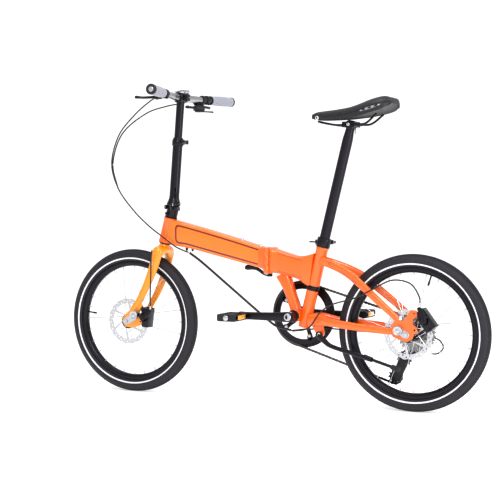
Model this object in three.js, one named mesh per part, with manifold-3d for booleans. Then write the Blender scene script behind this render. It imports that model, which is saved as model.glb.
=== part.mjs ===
// Folding bicycle with 20 inch wheels, unfolded and standing upright.
// Millimetres, +Z up. The bicycle rolls towards -X and its left side is -Y.
// The origin is on the ground, midway between the two wheel centres.
import * as THREE from "three";
import { mergeVertices } from "three/addons/utils/BufferGeometryUtils.js";
import Module from "manifold-3d";

const wasm = await Module();
wasm.setup();

// ---- driving dimensions --------------------------------------------------------------------------
const GAP = 0.3; // clearance between neighbouring parts
const WHEELBASE = 1024;
const TYRE_R = 250; // 20 inch tyre, 47-406
const TYRE_W = 47;
const RIM_OUT_R = 209;
const RIM_IN_R = 191;
const RIM_W = 27;
const FRONT_OLN = 100; // between the front dropouts
const REAR_OLN = 135;
const SPOKES = 28;
const ROTOR_R = 80;
const FRONT_ROTOR_Y = -40;
const REAR_ROTOR_Y = -52;
const FRONT_AXLE = new THREE.Vector3(-WHEELBASE / 2, 0, TYRE_R);
const REAR_AXLE = new THREE.Vector3(WHEELBASE / 2, 0, TYRE_R);

const BB = new THREE.Vector3(114, 0, 291); // bottom bracket centre
const BB_WIDTH = 68;
const CRANK_LENGTH = 170;
const CHAIN_Y = 46; // chain line
const CHAIN_PITCH = 12.7;
const CHAINRING_TEETH = 52;
const COGS = [11, 13, 15, 17, 20, 23, 26, 32];
const COG_IN_USE = 3;
const COG_SPACING = 4.8;
const PULLEY_TEETH = 11;
const GUIDE_PULLEY = new THREE.Vector3(470, CHAIN_Y, 160);
const TENSION_PULLEY = new THREE.Vector3(436, CHAIN_Y, 101);

const SEAT_ANGLE = THREE.MathUtils.degToRad(76);
const SEAT_FOOT = new THREE.Vector3(137, 0, 253); // open lower end of the seat tube
const SEAT_DIR = new THREE.Vector3(Math.cos(SEAT_ANGLE), 0, Math.sin(SEAT_ANGLE));
const SEAT_TUBE_LENGTH = 272;
const SEAT_TUBE_R = 20;
const SEATPOST_R = 16.95;
const SEATPOST_TOP = 664; // along the seat axis from the foot
const SEATPOST_LENGTH = 560;

const HEAD_ANGLE = THREE.MathUtils.degToRad(75);
const HEAD_DIR = new THREE.Vector3(Math.cos(HEAD_ANGLE), 0, Math.sin(HEAD_ANGLE));
const HEAD_BOTTOM = new THREE.Vector3(-386, 0, 525);
const HEAD_LENGTH = 88;
const HEAD_R = 23;

const HINGE_X = 17; // parting plane and pin of the frame hinge
const HINGE_PIN_Y = -37;
const HINGE_Z = [428, 514];
const POST_PLANE_Z = 648; // parting plane of the handlepost hinge
const POST_ANGLE = THREE.MathUtils.degToRad(85.4);
const POST_DIR = new THREE.Vector3(Math.cos(POST_ANGLE), 0, Math.sin(POST_ANGLE));
const POST_CENTRE = new THREE.Vector3(-352.5, 0, POST_PLANE_Z);
const POST_PIN_OFFSET = 28; // from the post centre to its hinge pin
const POST_AXIS = new THREE.Vector3(1, 1, 0).normalize(); // direction of the handlepost pin
const POST_R = 16.8;
const POST_INNER_R = 13.6;
const BAR_CENTRE = new THREE.Vector3(-322.4, 0, 1022);
const BAR_HALF = 285;

const ORANGE = 0xff7514;
const AMBER = 0xf9a01b;
const BLACK = 0x1b1b1f;
const STEEL = 0xb9bcc2;
const RUBBER = 0x26242b;
const GREY = 0xb5b7c4;

// ---- building helpers ----------------------------------------------------------------------------
const bike = new THREE.Group();
bike.name = "folding_bicycle";

const v = (x, y, z) => new THREE.Vector3(x, y, z);

function add(name, geometry, color, metalness = 0.2, roughness = 0.5) {
  const material = new THREE.MeshStandardMaterial({ color, metalness, roughness });
  const mesh = new THREE.Mesh(geometry, material);
  mesh.name = name;
  bike.add(mesh);
  return mesh;
}

function toManifold(geometry) {
  const bare = geometry.clone();
  bare.deleteAttribute("normal");
  bare.deleteAttribute("uv");
  const merged = mergeVertices(bare, 1e-4);
  const mesh = new wasm.Mesh({
    numProp: 3,
    vertProperties: new Float32Array(merged.attributes.position.array),
    triVerts: new Uint32Array(merged.index.array),
  });
  return new wasm.Manifold(mesh);
}

function fromManifold(solid) {
  const mesh = solid.getMesh();
  const geometry = new THREE.BufferGeometry();
  geometry.setAttribute("position", new THREE.BufferAttribute(mesh.vertProperties, 3));
  geometry.setIndex(new THREE.BufferAttribute(mesh.triVerts, 1));
  geometry.computeVertexNormals();
  return geometry;
}

// joins solids, then cuts the others away
function solid(parts, cuts = []) {
  let body = toManifold(parts[0]);
  for (const part of parts.slice(1)) {
    body = body.add(toManifold(part));
  }
  for (const cut of cuts) {
    body = body.subtract(toManifold(cut));
  }
  return fromManifold(body);
}

// turns local +Z to the direction and moves the origin to the point
function place(geometry, origin, direction) {
  const turn = new THREE.Quaternion().setFromUnitVectors(v(0, 0, 1), direction.clone().normalize());
  geometry.applyQuaternion(turn);
  geometry.translate(origin.x, origin.y, origin.z);
  return geometry;
}

function rod(start, end, radius, sides = 12, endRadius = radius) {
  const length = start.distanceTo(end);
  const geometry = new THREE.CylinderGeometry(endRadius, radius, length, sides);
  geometry.rotateX(Math.PI / 2);
  geometry.translate(0, 0, length / 2);
  return place(geometry, start, end.clone().sub(start));
}

// cylinder along Y at x, z
function hubRod(x, z, y0, y1, radius, sides = 14) {
  return rod(v(x, y0, z), v(x, y1, z), radius, sides);
}

function box(x0, x1, y0, y1, z0, z1) {
  const geometry = new THREE.BoxGeometry(x1 - x0, y1 - y0, z1 - z0);
  geometry.translate((x0 + x1) / 2, (y0 + y1) / 2, (z0 + z1) / 2);
  return geometry;
}

// box of size along, across, up, placed at a centre and turned by an angle about Z
function turnedBox(size, centre, angle) {
  const geometry = new THREE.BoxGeometry(size.x, size.y, size.z);
  geometry.rotateZ(angle);
  geometry.translate(centre.x, centre.y, centre.z);
  return geometry;
}

// flat plate in the XZ plane from outline points, between y0 and y1, with an optional edge bevel
function plate(points, y0, y1, bevel = 0, holes = [], steps = 2) {
  const outline = points.map(([x, z]) => new THREE.Vector2(x, z));
  if (THREE.ShapeUtils.isClockWise(outline)) {
    outline.reverse();
  }
  const shape = new THREE.Shape(outline);
  for (const [x, z, radius] of holes) {
    const hole = new THREE.Path();
    hole.absarc(x, z, radius, 0, Math.PI * 2, true);
    shape.holes.push(hole);
  }
  const geometry = new THREE.ExtrudeGeometry(shape, {
    depth: y1 - y0 - 2 * bevel,
    bevelEnabled: bevel > 0,
    bevelThickness: bevel,
    bevelSize: bevel,
    bevelOffset: -bevel,
    bevelSegments: steps,
    curveSegments: 4,
  });
  geometry.rotateX(Math.PI / 2);
  geometry.translate(0, y1 - bevel, 0);
  return geometry;
}

// ring turned about the Y axis through a centre; the profile holds closed [radius, y] points
function ringY(profile, centre, segments = 36) {
  const points = profile.map(([radius, y]) => new THREE.Vector2(radius, y));
  points.push(points[0].clone());
  const geometry = new THREE.LatheGeometry(points, segments);
  geometry.translate(centre.x, centre.y, centre.z);
  return geometry;
}

// tube along a smooth curve
function tube(points, radius, steps, sides = 6) {
  const shape = new THREE.Shape();
  shape.absarc(0, 0, radius, 0, Math.PI * 2, false);
  const curve = new THREE.CatmullRomCurve3(points, false, "centripetal");
  return new THREE.ExtrudeGeometry(shape, {
    steps,
    extrudePath: curve,
    curveSegments: sides / 2,
    bevelEnabled: false,
  });
}

// skin through elliptic rings; each ring is [centre, half width across, half height, direction]
function loft(rings, sides = 10, square = 2) {
  const positions = [];
  const index = [];
  for (const [centre, wide, high, direction] of rings) {
    const along = direction.clone().normalize();
    const across = v(-along.y, along.x, 0).lengthSq() > 1e-6 ? v(-along.y, along.x, 0) : v(0, 1, 0);
    across.normalize();
    const up = new THREE.Vector3().crossVectors(along, across);
    for (let i = 0; i < sides; i += 1) {
      const angle = ((i + 0.5) / sides) * Math.PI * 2;
      const c = Math.cos(angle);
      const s = Math.sin(angle);
      const a = Math.sign(c) * Math.abs(c) ** (2 / square) * wide;
      const b = Math.sign(s) * Math.abs(s) ** (2 / square) * high;
      const point = centre.clone().addScaledVector(across, a).addScaledVector(up, b);
      positions.push(point.x, point.y, point.z);
    }
  }
  for (let r = 0; r < rings.length - 1; r += 1) {
    for (let i = 0; i < sides; i += 1) {
      const j = (i + 1) % sides;
      const a = r * sides + i;
      const b = r * sides + j;
      index.push(a, b, a + sides, b, b + sides, a + sides);
    }
  }
  const first = rings[0][0];
  const last = rings[rings.length - 1][0];
  const start = positions.length / 3;
  positions.push(first.x, first.y, first.z, last.x, last.y, last.z);
  const base = (rings.length - 1) * sides;
  for (let i = 0; i < sides; i += 1) {
    const j = (i + 1) % sides;
    index.push(start, j, i);
    index.push(start + 1, base + i, base + j);
  }
  const geometry = new THREE.BufferGeometry();
  geometry.setAttribute("position", new THREE.Float32BufferAttribute(positions, 3));
  geometry.setIndex(index);
  geometry.computeVertexNormals();
  return geometry;
}

const seatPoint = (along, side = 0) => SEAT_FOOT.clone().addScaledVector(SEAT_DIR, along).add(v(0, side, 0));
const headPoint = (along) => HEAD_BOTTOM.clone().addScaledVector(HEAD_DIR, along);
const postPoint = (along, side = 0) => POST_CENTRE.clone().addScaledVector(POST_DIR, along).add(v(0, side, 0));
const pitchRadius = (teeth) => (CHAIN_PITCH * teeth) / (Math.PI * 2);

// ---- rear frame: hydroformed box, seat tube, strut, bottom bracket, stays --------------------------
const seatTubeCut = rod(seatPoint(-40), seatPoint(SEAT_TUBE_LENGTH + 30), SEAT_TUBE_R + GAP, 16);
const bbShell = hubRod(BB.x, BB.z, -BB_WIDTH / 2, BB_WIDTH / 2, 20.5, 16);
const bbShellCut = hubRod(BB.x, BB.z, -BB_WIDTH / 2 - 1, BB_WIDTH / 2 + 1, 20.5 + GAP, 16);

const HINGE_MID = [HINGE_Z[0] + 28, HINGE_Z[1] - 28]; // the front knuckle sits between two rear knuckles
const pinRod = (z0, z1, radius, sides = 12) =>
  rod(v(HINGE_X, HINGE_PIN_Y, z0), v(HINGE_X, HINGE_PIN_Y, z1), radius, sides);

const rearBoxOutline = [
  [HINGE_X + GAP, 512],
  [40, 508],
  [70, 499],
  [99, 491],
  [120, 486.5],
  [150, 489],
  [178, 497],
  [196, 500],
  [178, 430],
  [165, 386],
  [148, 395],
  [124, 411],
  [83, 422],
  [40, 429],
  [HINGE_X + GAP, 432],
];
add(
  "rear_box_tube",
  solid(
    [
      plate(rearBoxOutline, -24, 24, 8, [], 2),
      box(HINGE_X + GAP, HINGE_X + 13, -31, 31, ...HINGE_Z),
      pinRod(HINGE_Z[0], HINGE_MID[0] - GAP, 8),
      pinRod(HINGE_MID[1] + GAP, HINGE_Z[1], 8),
      box(HINGE_X + GAP, HINGE_X + 13, HINGE_PIN_Y, -28, HINGE_Z[0], HINGE_MID[0] - GAP),
      box(HINGE_X + GAP, HINGE_X + 13, HINGE_PIN_Y, -28, HINGE_MID[1] + GAP, HINGE_Z[1]),
      pinRod(HINGE_Z[0] - 2, HINGE_Z[1] + 2, 3.6),
    ],
    [seatTubeCut, box(HINGE_X, HINGE_X + 8.6, -46, -28.6, HINGE_MID[0] - 0.1, HINGE_MID[1] + 0.1)],
  ),
  ORANGE,
);
// the pin runs on through the cut between the knuckles
bike.children[0].geometry = solid([
  bike.children[0].geometry,
  pinRod(HINGE_MID[0] - 6, HINGE_MID[1] + 6, 3.6),
]);

const seatTube = solid(
  [rod(seatPoint(0), seatPoint(SEAT_TUBE_LENGTH), SEAT_TUBE_R, 16)],
  [
    rod(seatPoint(-5), seatPoint(SEAT_TUBE_LENGTH + 5), SEATPOST_R + GAP, 16),
    bbShellCut,
  ],
);
add("seat_tube", seatTube, ORANGE);

const strutOutline = [
  [36, 431],
  [84, 421],
  [101, 372],
  [129, 300],
  [112, 286],
  [92, 300],
];
add(
  "strut_and_bottom_bracket",
  solid(
    [
      plate(strutOutline, -20, 20, 7, [], 2),
      bbShell,
    ],
    [
      seatTubeCut,
      plate(rearBoxOutline.map(([x, z]) => [x, z - 0.4]), -26, 26),
      hubRod(BB.x, BB.z, -BB_WIDTH, BB_WIDTH, 9.6, 16),
    ],
  ),
  ORANGE,
);

const stayRing = (x, y, z, wide, high, dx, dy, dz) => [v(x, y, z), wide, high, v(dx, dy, dz)];
const leftDropout = [
  [462, 276],
  [478, 302],
  [497, 292],
  [508, 300],
  [524, 328],
  [546, 328],
  [548, 309],
  [535, 302],
  [531, 285],
  [546, 275],
  [548, 257],
  [536, 254],
  [532, 238],
  [514, 228],
  [494, 234],
  [466, 243],
];
const rightDropout = [
  [462, 276],
  [478, 302],
  [496, 290],
  [510, 280],
  [528, 268],
  [533, 240],
  [538, 212],
  [528, 206],
  [516, 216],
  [504, 230],
  [466, 243],
];
for (const [side, name] of [
  [-1, "left"],
  [1, "right"],
]) {
  // the right stay is dented inward so that the chain and the chainring pass beside it
  const bow = side < 0 ? 0 : -7;
  const stay = loft(
    [
      stayRing(158, side * 16, 278, 9, 20, 1, side * 0.1, 0.02),
      stayRing(200, side * 25, 281, 9, 19, 1, side * 0.35, 0),
      stayRing(250, side * (44 + bow), 275, 9, 12, 1, side * 0.3, -0.1),
      stayRing(310, side * (56 + bow / 2), 270, 9, 12.5, 1, side * 0.16, -0.1),
      stayRing(400, side * 64, 262, 8, 11, 1, side * 0.04, -0.08),
      stayRing(482, side * 66.5, 257, 5, 10, 1, 0, -0.06),
    ],
    12,
  );
  const y0 = side < 0 ? -REAR_OLN / 2 - 5.5 : REAR_OLN / 2 + GAP;
  const y1 = side < 0 ? -REAR_OLN / 2 - GAP : REAR_OLN / 2 + 5.5;
  const tip = plate(
    side < 0 ? leftDropout : rightDropout,
    y0,
    y1,
    0,
    side < 0
      ? [
          [537, 318, 3],
          [538, 266, 3],
        ]
      : [[526, 216, 4]],
  );
  const cuts = [
    seatTubeCut,
    bbShellCut,
    hubRod(REAR_AXLE.x, REAR_AXLE.z, -120, 120, 5 + GAP, 16),
  ];
  // the kickstand hangs on a plate under the left stay
  const standPlate = plate(
    [
      [168, 268],
      [210, 268],
      [216, 236],
      [208, 221],
      [194, 221],
      [182, 244],
    ],
    -19.5,
    -12,
  );
  const stayParts = side < 0 ? [stay, tip, standPlate] : [stay, tip];
  add(`chainstay_${name}`, solid(stayParts, cuts), ORANGE);

  const reach = side * 1;
  const upper = loft(
    [
      stayRing(198, reach * 11, 474, 7, 14, 1, side * 0.15, -0.3),
      stayRing(240, reach * 17, 462, 7.5, 13.5, 1, side * 0.25, -0.35),
      stayRing(285, reach * 32, 445, 8, 13, 1, side * 0.42, -0.42),
      stayRing(330, reach * 47, 420, 8, 13, 1, side * 0.25, -0.66),
      stayRing(400, reach * 57, 364, 8, 12, 1, side * 0.1, -0.86),
      stayRing(474, reach * 64.5, 303.5, 6, 10, 1, side * 0.05, -0.8),
    ],
    12,
  );
  const dropoutCut = plate(
    side < 0 ? leftDropout : rightDropout,
    side < 0 ? y0 - 30 : y0 - 12,
    side < 0 ? y1 + 12 : y1 + 30,
  );
  dropoutCut.translate(0, 0, 0.4);
  const gapCut = side < 0 ? box(150, 260, -4, 30, 420, 520) : box(150, 260, -30, 4, 420, 520);
  add(`seatstay_${name}`, solid([upper], [seatTubeCut, dropoutCut, gapCut]), ORANGE);
}

// the axle's left nut carries the disc that the fork's magnet meets when the frame is folded
add(
  "rear_axle",
  solid([
    hubRod(REAR_AXLE.x, REAR_AXLE.z, -80, 80, 5),
    hubRod(REAR_AXLE.x, REAR_AXLE.z, -83, -REAR_OLN / 2 - 5.8, 9, 6),
    hubRod(REAR_AXLE.x, REAR_AXLE.z, REAR_OLN / 2 + 5.8, 82, 9, 6),
    plate(
      [
        [520, 242],
        [522, 254],
        [492, 276],
        [480, 258],
        [504, 240],
      ],
      -REAR_OLN / 2 - 9,
      -REAR_OLN / 2 - 5.8,
    ),
    hubRod(488, 264, -89, -REAR_OLN / 2 - 5.8, 15, 14),
  ]),
  STEEL,
  0.9,
  0.35,
);

// ---- seatpost clamp, seatpost and saddle -----------------------------------------------------------
const collarFrom = SEAT_TUBE_LENGTH + GAP;
add(
  "seat_clamp",
  solid(
    [
      rod(seatPoint(collarFrom), seatPoint(collarFrom + 30), 23, 16),
      rod(seatPoint(collarFrom + 16).add(v(-24, 22, 0)), seatPoint(collarFrom + 16).add(v(24, 22, 0)), 7.5, 12),
    ],
    [
      rod(seatPoint(collarFrom - 5), seatPoint(collarFrom + 40), SEATPOST_R + GAP, 16),
    ],
  ),
  BLACK,
  0.6,
  0.4,
);
const seatLeverPivot = seatPoint(collarFrom + 16).add(v(-32, 22, 0));
add(
  "seat_clamp_lever",
  solid([
    rod(seatLeverPivot.clone().add(v(0, 0, -8)), seatLeverPivot.clone().add(v(0, 0, 8)), 7, 16),
    loft(
      [
        [seatLeverPivot.clone(), 5, 3, v(-0.1, -1, 0)],
        [seatLeverPivot.clone().add(v(-4, -24, 1)), 6, 2.6, v(0, -1, 0.05)],
        [seatLeverPivot.clone().add(v(-2, -48, 2)), 8, 2.4, v(0.2, -1, 0.05)],
      ],
      10,
    ),
  ]),
  BLACK,
  0.5,
  0.4,
);

const saddleClampCentre = seatPoint(SEATPOST_TOP + 14);
add(
  "seatpost",
  solid([
    rod(seatPoint(SEATPOST_TOP - SEATPOST_LENGTH), seatPoint(SEATPOST_TOP), SEATPOST_R, 16),
    rod(seatPoint(SEATPOST_TOP - 30), seatPoint(SEATPOST_TOP + 4), 14, 16),
    hubRod(saddleClampCentre.x, saddleClampCentre.z, -17, 17, 15, 14),
    box(saddleClampCentre.x - 22, saddleClampCentre.x + 22, -15, 15, saddleClampCentre.z - 8, saddleClampCentre.z + 10),
    rod(saddleClampCentre.clone().add(v(17, 0, -30)), saddleClampCentre.clone().add(v(17, 0, 12)), 4.5, 10),
  ]),
  BLACK,
  0.6,
  0.4,
);

const railZ = saddleClampCentre.z;
const railPath = (side) => [
  v(saddleClampCentre.x + 98, side * 34, railZ + 32),
  v(saddleClampCentre.x + 62, side * 27, railZ + 4),
  v(saddleClampCentre.x + 30, side * 22, railZ),
  v(saddleClampCentre.x - 40, side * 22, railZ),
  v(saddleClampCentre.x - 88, side * 12, railZ + 8),
  v(saddleClampCentre.x - 112, side * 4, railZ + 14),
];
const railLoop = (radius) => tube([...railPath(-1), ...railPath(1).reverse()], radius, 32, 6);
add("saddle_rails", railLoop(3.5), BLACK, 0.8, 0.4);

// the shell is a skin through sections along the saddle, nose first; z is for the flat underside
const saddleSections = [
  [168, 935, 947, 8],
  [174, 931, 953, 16],
  [200, 928, 957, 21],
  [250, 928, 961, 25],
  [300, 930, 967, 37],
  [345, 935, 978, 56],
  [385, 943, 990, 71],
  [420, 952, 997, 75],
  [440, 961, 995, 66],
  [447, 968, 987, 50],
];
const saddleBody = loft(
  saddleSections.map(([x, low, high, wide]) => [v(x, 0, (low + high) / 2), wide, (high - low) / 2, v(1, 0, 0)]),
  16,
  2.6,
);
const saddleHollow = loft(
  saddleSections
    .slice(1, -1)
    .map(([x, low, high, wide]) => [
      v(x, 0, (low + high) / 2 - 16),
      Math.max(wide - 7, 5.5),
      (high - low) / 2 - 2,
      v(1, 0, 0),
    ]),
  12,
  2.6,
);
add("saddle", solid([saddleBody], [saddleHollow, railLoop(4)]), RUBBER, 0, 0.6);

// ---- front frame half --------------------------------------------------------------------------------
const frontOutline = [
  [-352, 606],
  [-341, 603],
  [-220, 573],
  [-103, 542],
  [-3, 513],
  [HINGE_X - GAP, 509],
  [HINGE_X - GAP, 436],
  [-11, 444],
  [-63, 456],
  [-227, 494],
  [-290, 509],
  [-330, 512],
  [-372, 523],
];
const hingePinCut = pinRod(HINGE_Z[0] - 10, HINGE_Z[1] + 10, 3.6 + GAP);
add(
  "front_frame",
  solid(
    [
      plate(frontOutline, -25, 25, 8, [], 2),
      box(HINGE_X - 13, HINGE_X - GAP, -31, 31, ...HINGE_Z),
      pinRod(HINGE_MID[0] + GAP, HINGE_MID[1] - GAP, 8),
      box(HINGE_X - 13, HINGE_X - GAP, HINGE_PIN_Y, -28, HINGE_MID[0] + GAP, HINGE_MID[1] - GAP),
      box(-12, HINGE_X - GAP, 22, 30, 436, 460),
      rod(headPoint(0), headPoint(HEAD_LENGTH), HEAD_R, 14),
    ],
    [
      rod(headPoint(-5), headPoint(HEAD_LENGTH + 5), 17, 16),
      hingePinCut,
      box(HINGE_X - 8.6, HINGE_X, -46, -28.6, HINGE_Z[0] - 1, HINGE_MID[0] + 0.1),
      box(HINGE_X - 8.6, HINGE_X, -46, -28.6, HINGE_MID[1] - 0.1, HINGE_Z[1] + 1),
      rod(v(-4, 35, 400), v(-4, 35, 520), 10.4, 16),
    ],
  ),
  ORANGE,
);
// over-centre latch at the right of the hinge: an upright barrel with a lever that lies under the tube
const LATCH = v(-4, 35, 0);
add(
  "frame_latch_lever",
  solid([
    rod(v(LATCH.x, LATCH.y, 414), v(LATCH.x, LATCH.y, 468), 10, 14),
    loft(
      [
        [v(-6, 37, 420), 4, 7, v(-1, 0.1, 0.2)],
        [v(-28, 41, 424), 4, 6, v(-1, 0.1, 0.4)],
        [v(-50, 42, 437), 3.6, 6, v(-1, 0, 0.5)],
        [v(-68, 42, 443), 5, 8, v(-1, 0, 0.1)],
        [v(-88, 41, 443), 5, 9, v(-1, 0, 0)],
        [v(-98, 41, 442), 3, 6, v(-1, 0, 0)],
      ],
      12,
    ),
  ]),
  BLACK,
  0.5,
  0.45,
);

// ---- fork, front axle and brake ----------------------------------------------------------------------
const forkParts = [
  rod(headPoint(-4 - GAP), headPoint(HEAD_LENGTH + 34), 14.3, 16),
  rod(headPoint(-22), headPoint(-GAP - 0.2), 21, 24, 14),
  loft(
    [
      [v(-398, -46, 474), 19, 17, v(0, 1, 0.3)],
      [v(-394, -36, 492), 21, 21, v(0, 1, 0.5)],
      [v(-391, 0, 499), 22, 14, v(0, 1, 0)],
      [v(-394, 36, 492), 21, 21, v(0, 1, -0.5)],
      [v(-398, 46, 474), 19, 17, v(0, 1, -0.3)],
    ],
    14,
  ),
];
for (const side of [-1, 1]) {
  forkParts.push(
    loft(
      [
        [v(-393, side * 43, 488), 10, 19, v(-0.25, side * 0.02, -1)],
        [v(-404, side * 46, 450), 10, 17, v(-0.25, side * 0.05, -1)],
        [v(-420, side * 49, 405), 9, 15, v(-0.38, side * 0.04, -1)],
        [v(-446, side * 51.5, 350), 8, 13, v(-0.5, side * 0.03, -1)],
        [v(-474, side * 53, 304), 6.5, 11, v(-0.6, 0, -1)],
        [v(-497, side * 53.4, 268), 3, 9, v(-0.6, 0, -1)],
      ],
      14,
    ),
  );
}
const frontTipLeft = [
  [-522, 238],
  [-528, 258],
  [-516, 274],
  [-500, 288],
  [-478, 322],
  [-456, 322],
  [-446, 308],
  [-456, 294],
  [-462, 272],
  [-446, 262],
  [-444, 246],
  [-462, 236],
  [-486, 230],
  [-506, 230],
];
const frontTipRight = [
  [-522, 238],
  [-526, 258],
  [-512, 276],
  [-492, 286],
  [-480, 276],
  [-494, 250],
  [-500, 234],
];
const frontFace = FRONT_OLN / 2 + GAP;
forkParts.push(
  plate(frontTipLeft, -frontFace - 6, -frontFace),
  plate(frontTipRight, frontFace, frontFace + 6),
  hubRod(FRONT_AXLE.x, FRONT_AXLE.z, -66, 66, 4.6, 14),
  hubRod(FRONT_AXLE.x, FRONT_AXLE.z, -65, -frontFace - 3, 9, 6),
  hubRod(FRONT_AXLE.x, FRONT_AXLE.z, frontFace + 3, 65, 9, 6),
  plate(
    [
      [-520, 242],
      [-522, 256],
      [-472, 290],
      [-456, 266],
      [-504, 240],
    ],
    -frontFace - 10,
    -frontFace - 5,
  ),
  hubRod(-466, 276, -87, -frontFace - 5, 15, 14),
);
add("fork", solid(forkParts), AMBER);

// caliper body around a rotor: outer half, inner half, and a bridge past the rotor's edge
function caliper(centre, axle, rotorY, outerY, innerY, long, high, angle) {
  const block = new THREE.BoxGeometry(long, innerY - outerY, high);
  block.rotateY(angle);
  block.translate(centre.x, (outerY + innerY) / 2, centre.z);
  const drum = hubRod(centre.x, centre.z, outerY - 4, outerY + 10, 15, 20);
  const slot = hubRod(axle.x, axle.z, rotorY - 2.2, rotorY + 2.2, ROTOR_R + 2.5, 48);
  return [[block, drum], [slot]];
}
const frontCaliper = caliper(v(-431, 0, 268), FRONT_AXLE, FRONT_ROTOR_Y, -72, -33, 34, 66, 0.12);
const frontMount = plate(frontTipLeft, -frontFace - 6 - GAP, -frontFace + GAP);
add(
  "front_caliper",
  solid(frontCaliper[0], [
    ...frontCaliper[1],
    solid([forkParts[4]].concat([forkParts[3]])),
    frontMount,
    box(-520, -440.6, -90, -44, 200, 340),
  ]),
  BLACK,
  0.5,
  0.5,
);
add(
  "front_brake_arm",
  solid([
    hubRod(-431, 268, -84, -76.5, 11, 14),
    plate(
      [
        [-439, 268],
        [-431, 276],
        [-404, 296],
        [-396, 292],
        [-398, 284],
        [-424, 260],
      ],
      -84,
      -78,
      1,
      [],
      1,
    ),
  ]),
  BLACK,
  0.6,
  0.4,
);

const rearCaliperAngle = -0.64;
const rearCaliper = caliper(v(574, 0, 298), REAR_AXLE, REAR_ROTOR_Y, -82, -45, 36, 70, rearCaliperAngle);
add(
  "rear_caliper",
  solid(rearCaliper[0], [
    ...rearCaliper[1],
    plate(leftDropout, -REAR_OLN / 2 - 6, -REAR_OLN / 2 + 0.5),
    box(500, 549.5, -90, -66, 200, 340),
  ]),
  BLACK,
  0.5,
  0.5,
);
add(
  "rear_brake_arm",
  solid([
    hubRod(574, 298, -94, -86.5, 11, 14),
    plate(
      [
        [564, 294],
        [566, 306],
        [552, 336],
        [559, 341],
        [567, 338],
        [584, 306],
      ],
      -94,
      -88,
      1,
      [],
      1,
    ),
  ]),
  BLACK,
  0.6,
  0.4,
);

// ---- handlepost ----------------------------------------------------------------------------------------
const toPin = v(-POST_AXIS.y, POST_AXIS.x, 0); // from the post centre towards its hinge pin
const pinCentre = POST_CENTRE.clone().addScaledVector(toPin, POST_PIN_OFFSET);
const postPin = (from, to, radius, sides = 12) =>
  rod(
    pinCentre.clone().addScaledVector(POST_AXIS, from),
    pinCentre.clone().addScaledVector(POST_AXIS, to),
    radius,
    sides,
  );
const quarter = Math.PI / 4;
const postPlate = (z0, z1, from, to, half) =>
  turnedBox(
    v(2 * half, to - from, z1 - z0),
    POST_CENTRE.clone()
      .addScaledVector(toPin, POST_PIN_OFFSET - (from + to) / 2)
      .setZ((z0 + z1) / 2),
    quarter,
  );
const outerKnuckles = [postPin(-24, -9 - GAP, 8), postPin(9 + GAP, 24, 8)];
const stemTop = headPoint(HEAD_LENGTH + 34);
add(
  "handlepost_base",
  solid(
    [
      rod(headPoint(HEAD_LENGTH + GAP), headPoint(HEAD_LENGTH + 31), 20.5, 14),
      postPlate(POST_PLANE_Z - 13, POST_PLANE_Z - GAP, 0, 52, 16),
      ...outerKnuckles,
      postPin(-27, 27, 3.4),
      hubRod(-366, 626, -27, 27, 5.5, 12),
      postPlate(POST_PLANE_Z - 10, POST_PLANE_Z - GAP, 40, 60, 9),
    ],
    [
      rod(headPoint(HEAD_LENGTH - 10), stemTop.clone().addScaledVector(HEAD_DIR, 0.4), 14.3 + GAP, 16),
      postPlate(POST_PLANE_Z, POST_PLANE_Z + 20, 9, 60, 40),
      solid([postPin(-9, 9, 8.4)], [postPin(-12, 12, 3.4)]),
    ],
  ),
  BLACK,
  0.6,
  0.4,
);
const POST_LOWER_TOP = 234;
const POST_UPPER_FOOT = 158;
const COLLAR_FROM = 212;
add(
  "handlepost_lower",
  solid(
    [
      rod(postPoint(4), postPoint(POST_LOWER_TOP), POST_R, 14),
      rod(postPoint(COLLAR_FROM), postPoint(POST_LOWER_TOP + 4), 19.5, 14),
      rod(postPoint(COLLAR_FROM + 11).add(v(22, -16, 0)), postPoint(COLLAR_FROM + 11).add(v(22, 16, 0)), 6.5, 12),
      rod(postPoint(COLLAR_FROM + 11).add(v(14, -9, 0)), postPoint(COLLAR_FROM + 11).add(v(14, 9, 0)), 9, 12),
      postPlate(POST_PLANE_Z + GAP, POST_PLANE_Z + 13, 0, 50, 16),
      rod(postPoint(8), postPoint(34), 24, 14, POST_R),
      postPin(-9 + GAP, 9 - GAP, 8),
    ],
    [
      rod(postPoint(22), postPoint(POST_LOWER_TOP + 10), POST_INNER_R + GAP, 14),
      ...[postPin(-40, -9, 8.4), postPin(9, 40, 8.4)],
      postPin(-30, 30, 3.4 + GAP),
      postPlate(POST_PLANE_Z - 20, POST_PLANE_Z, 9, 60, 40),
    ],
  ),
  BLACK,
  0.6,
  0.4,
);
// the latch stands at the rear left corner of the hinge, its lever closed up against the post
const latchOut = toPin.clone().negate();
const latchPoint = (out, up, along = 0) =>
  POST_CENTRE.clone().addScaledVector(latchOut, out).addScaledVector(POST_AXIS, along).add(v(0, 0, up));
add(
  "handlepost_latch_lever",
  solid(
    [
      rod(latchPoint(33, 8, -11), latchPoint(33, 8, 11), 7, 16),
      rod(latchPoint(33, 8, -13), latchPoint(33, 8, 13), 3, 10),
      loft(
        [
          [latchPoint(34, 8), 9, 5, v(0, 0, 1)],
          [latchPoint(32, 26), 8, 4, v(0, 0, 1)],
          [latchPoint(28, 46), 7.5, 3.5, v(-0.1, 0, 1)],
          [latchPoint(27, 66), 8, 3.5, v(0, 0, 1)],
        ],
        12,
      ),
    ],
    [
      rod(postPoint(-10), postPoint(120), POST_R + GAP, 14),
      rod(postPoint(7), postPoint(36), 24 + 2 * GAP, 14, POST_R + 2 * GAP),
      postPlate(POST_PLANE_Z - 20, POST_PLANE_Z + 13 + GAP, 0, 50 + GAP, 30),
      postPlate(POST_PLANE_Z - 20, POST_PLANE_Z, 0, 70, 30),
    ],
  ),
  BLACK,
  0.6,
  0.4,
);
const collarLeverPivot = postPoint(COLLAR_FROM + 11).add(v(22, 24, 0));
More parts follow.
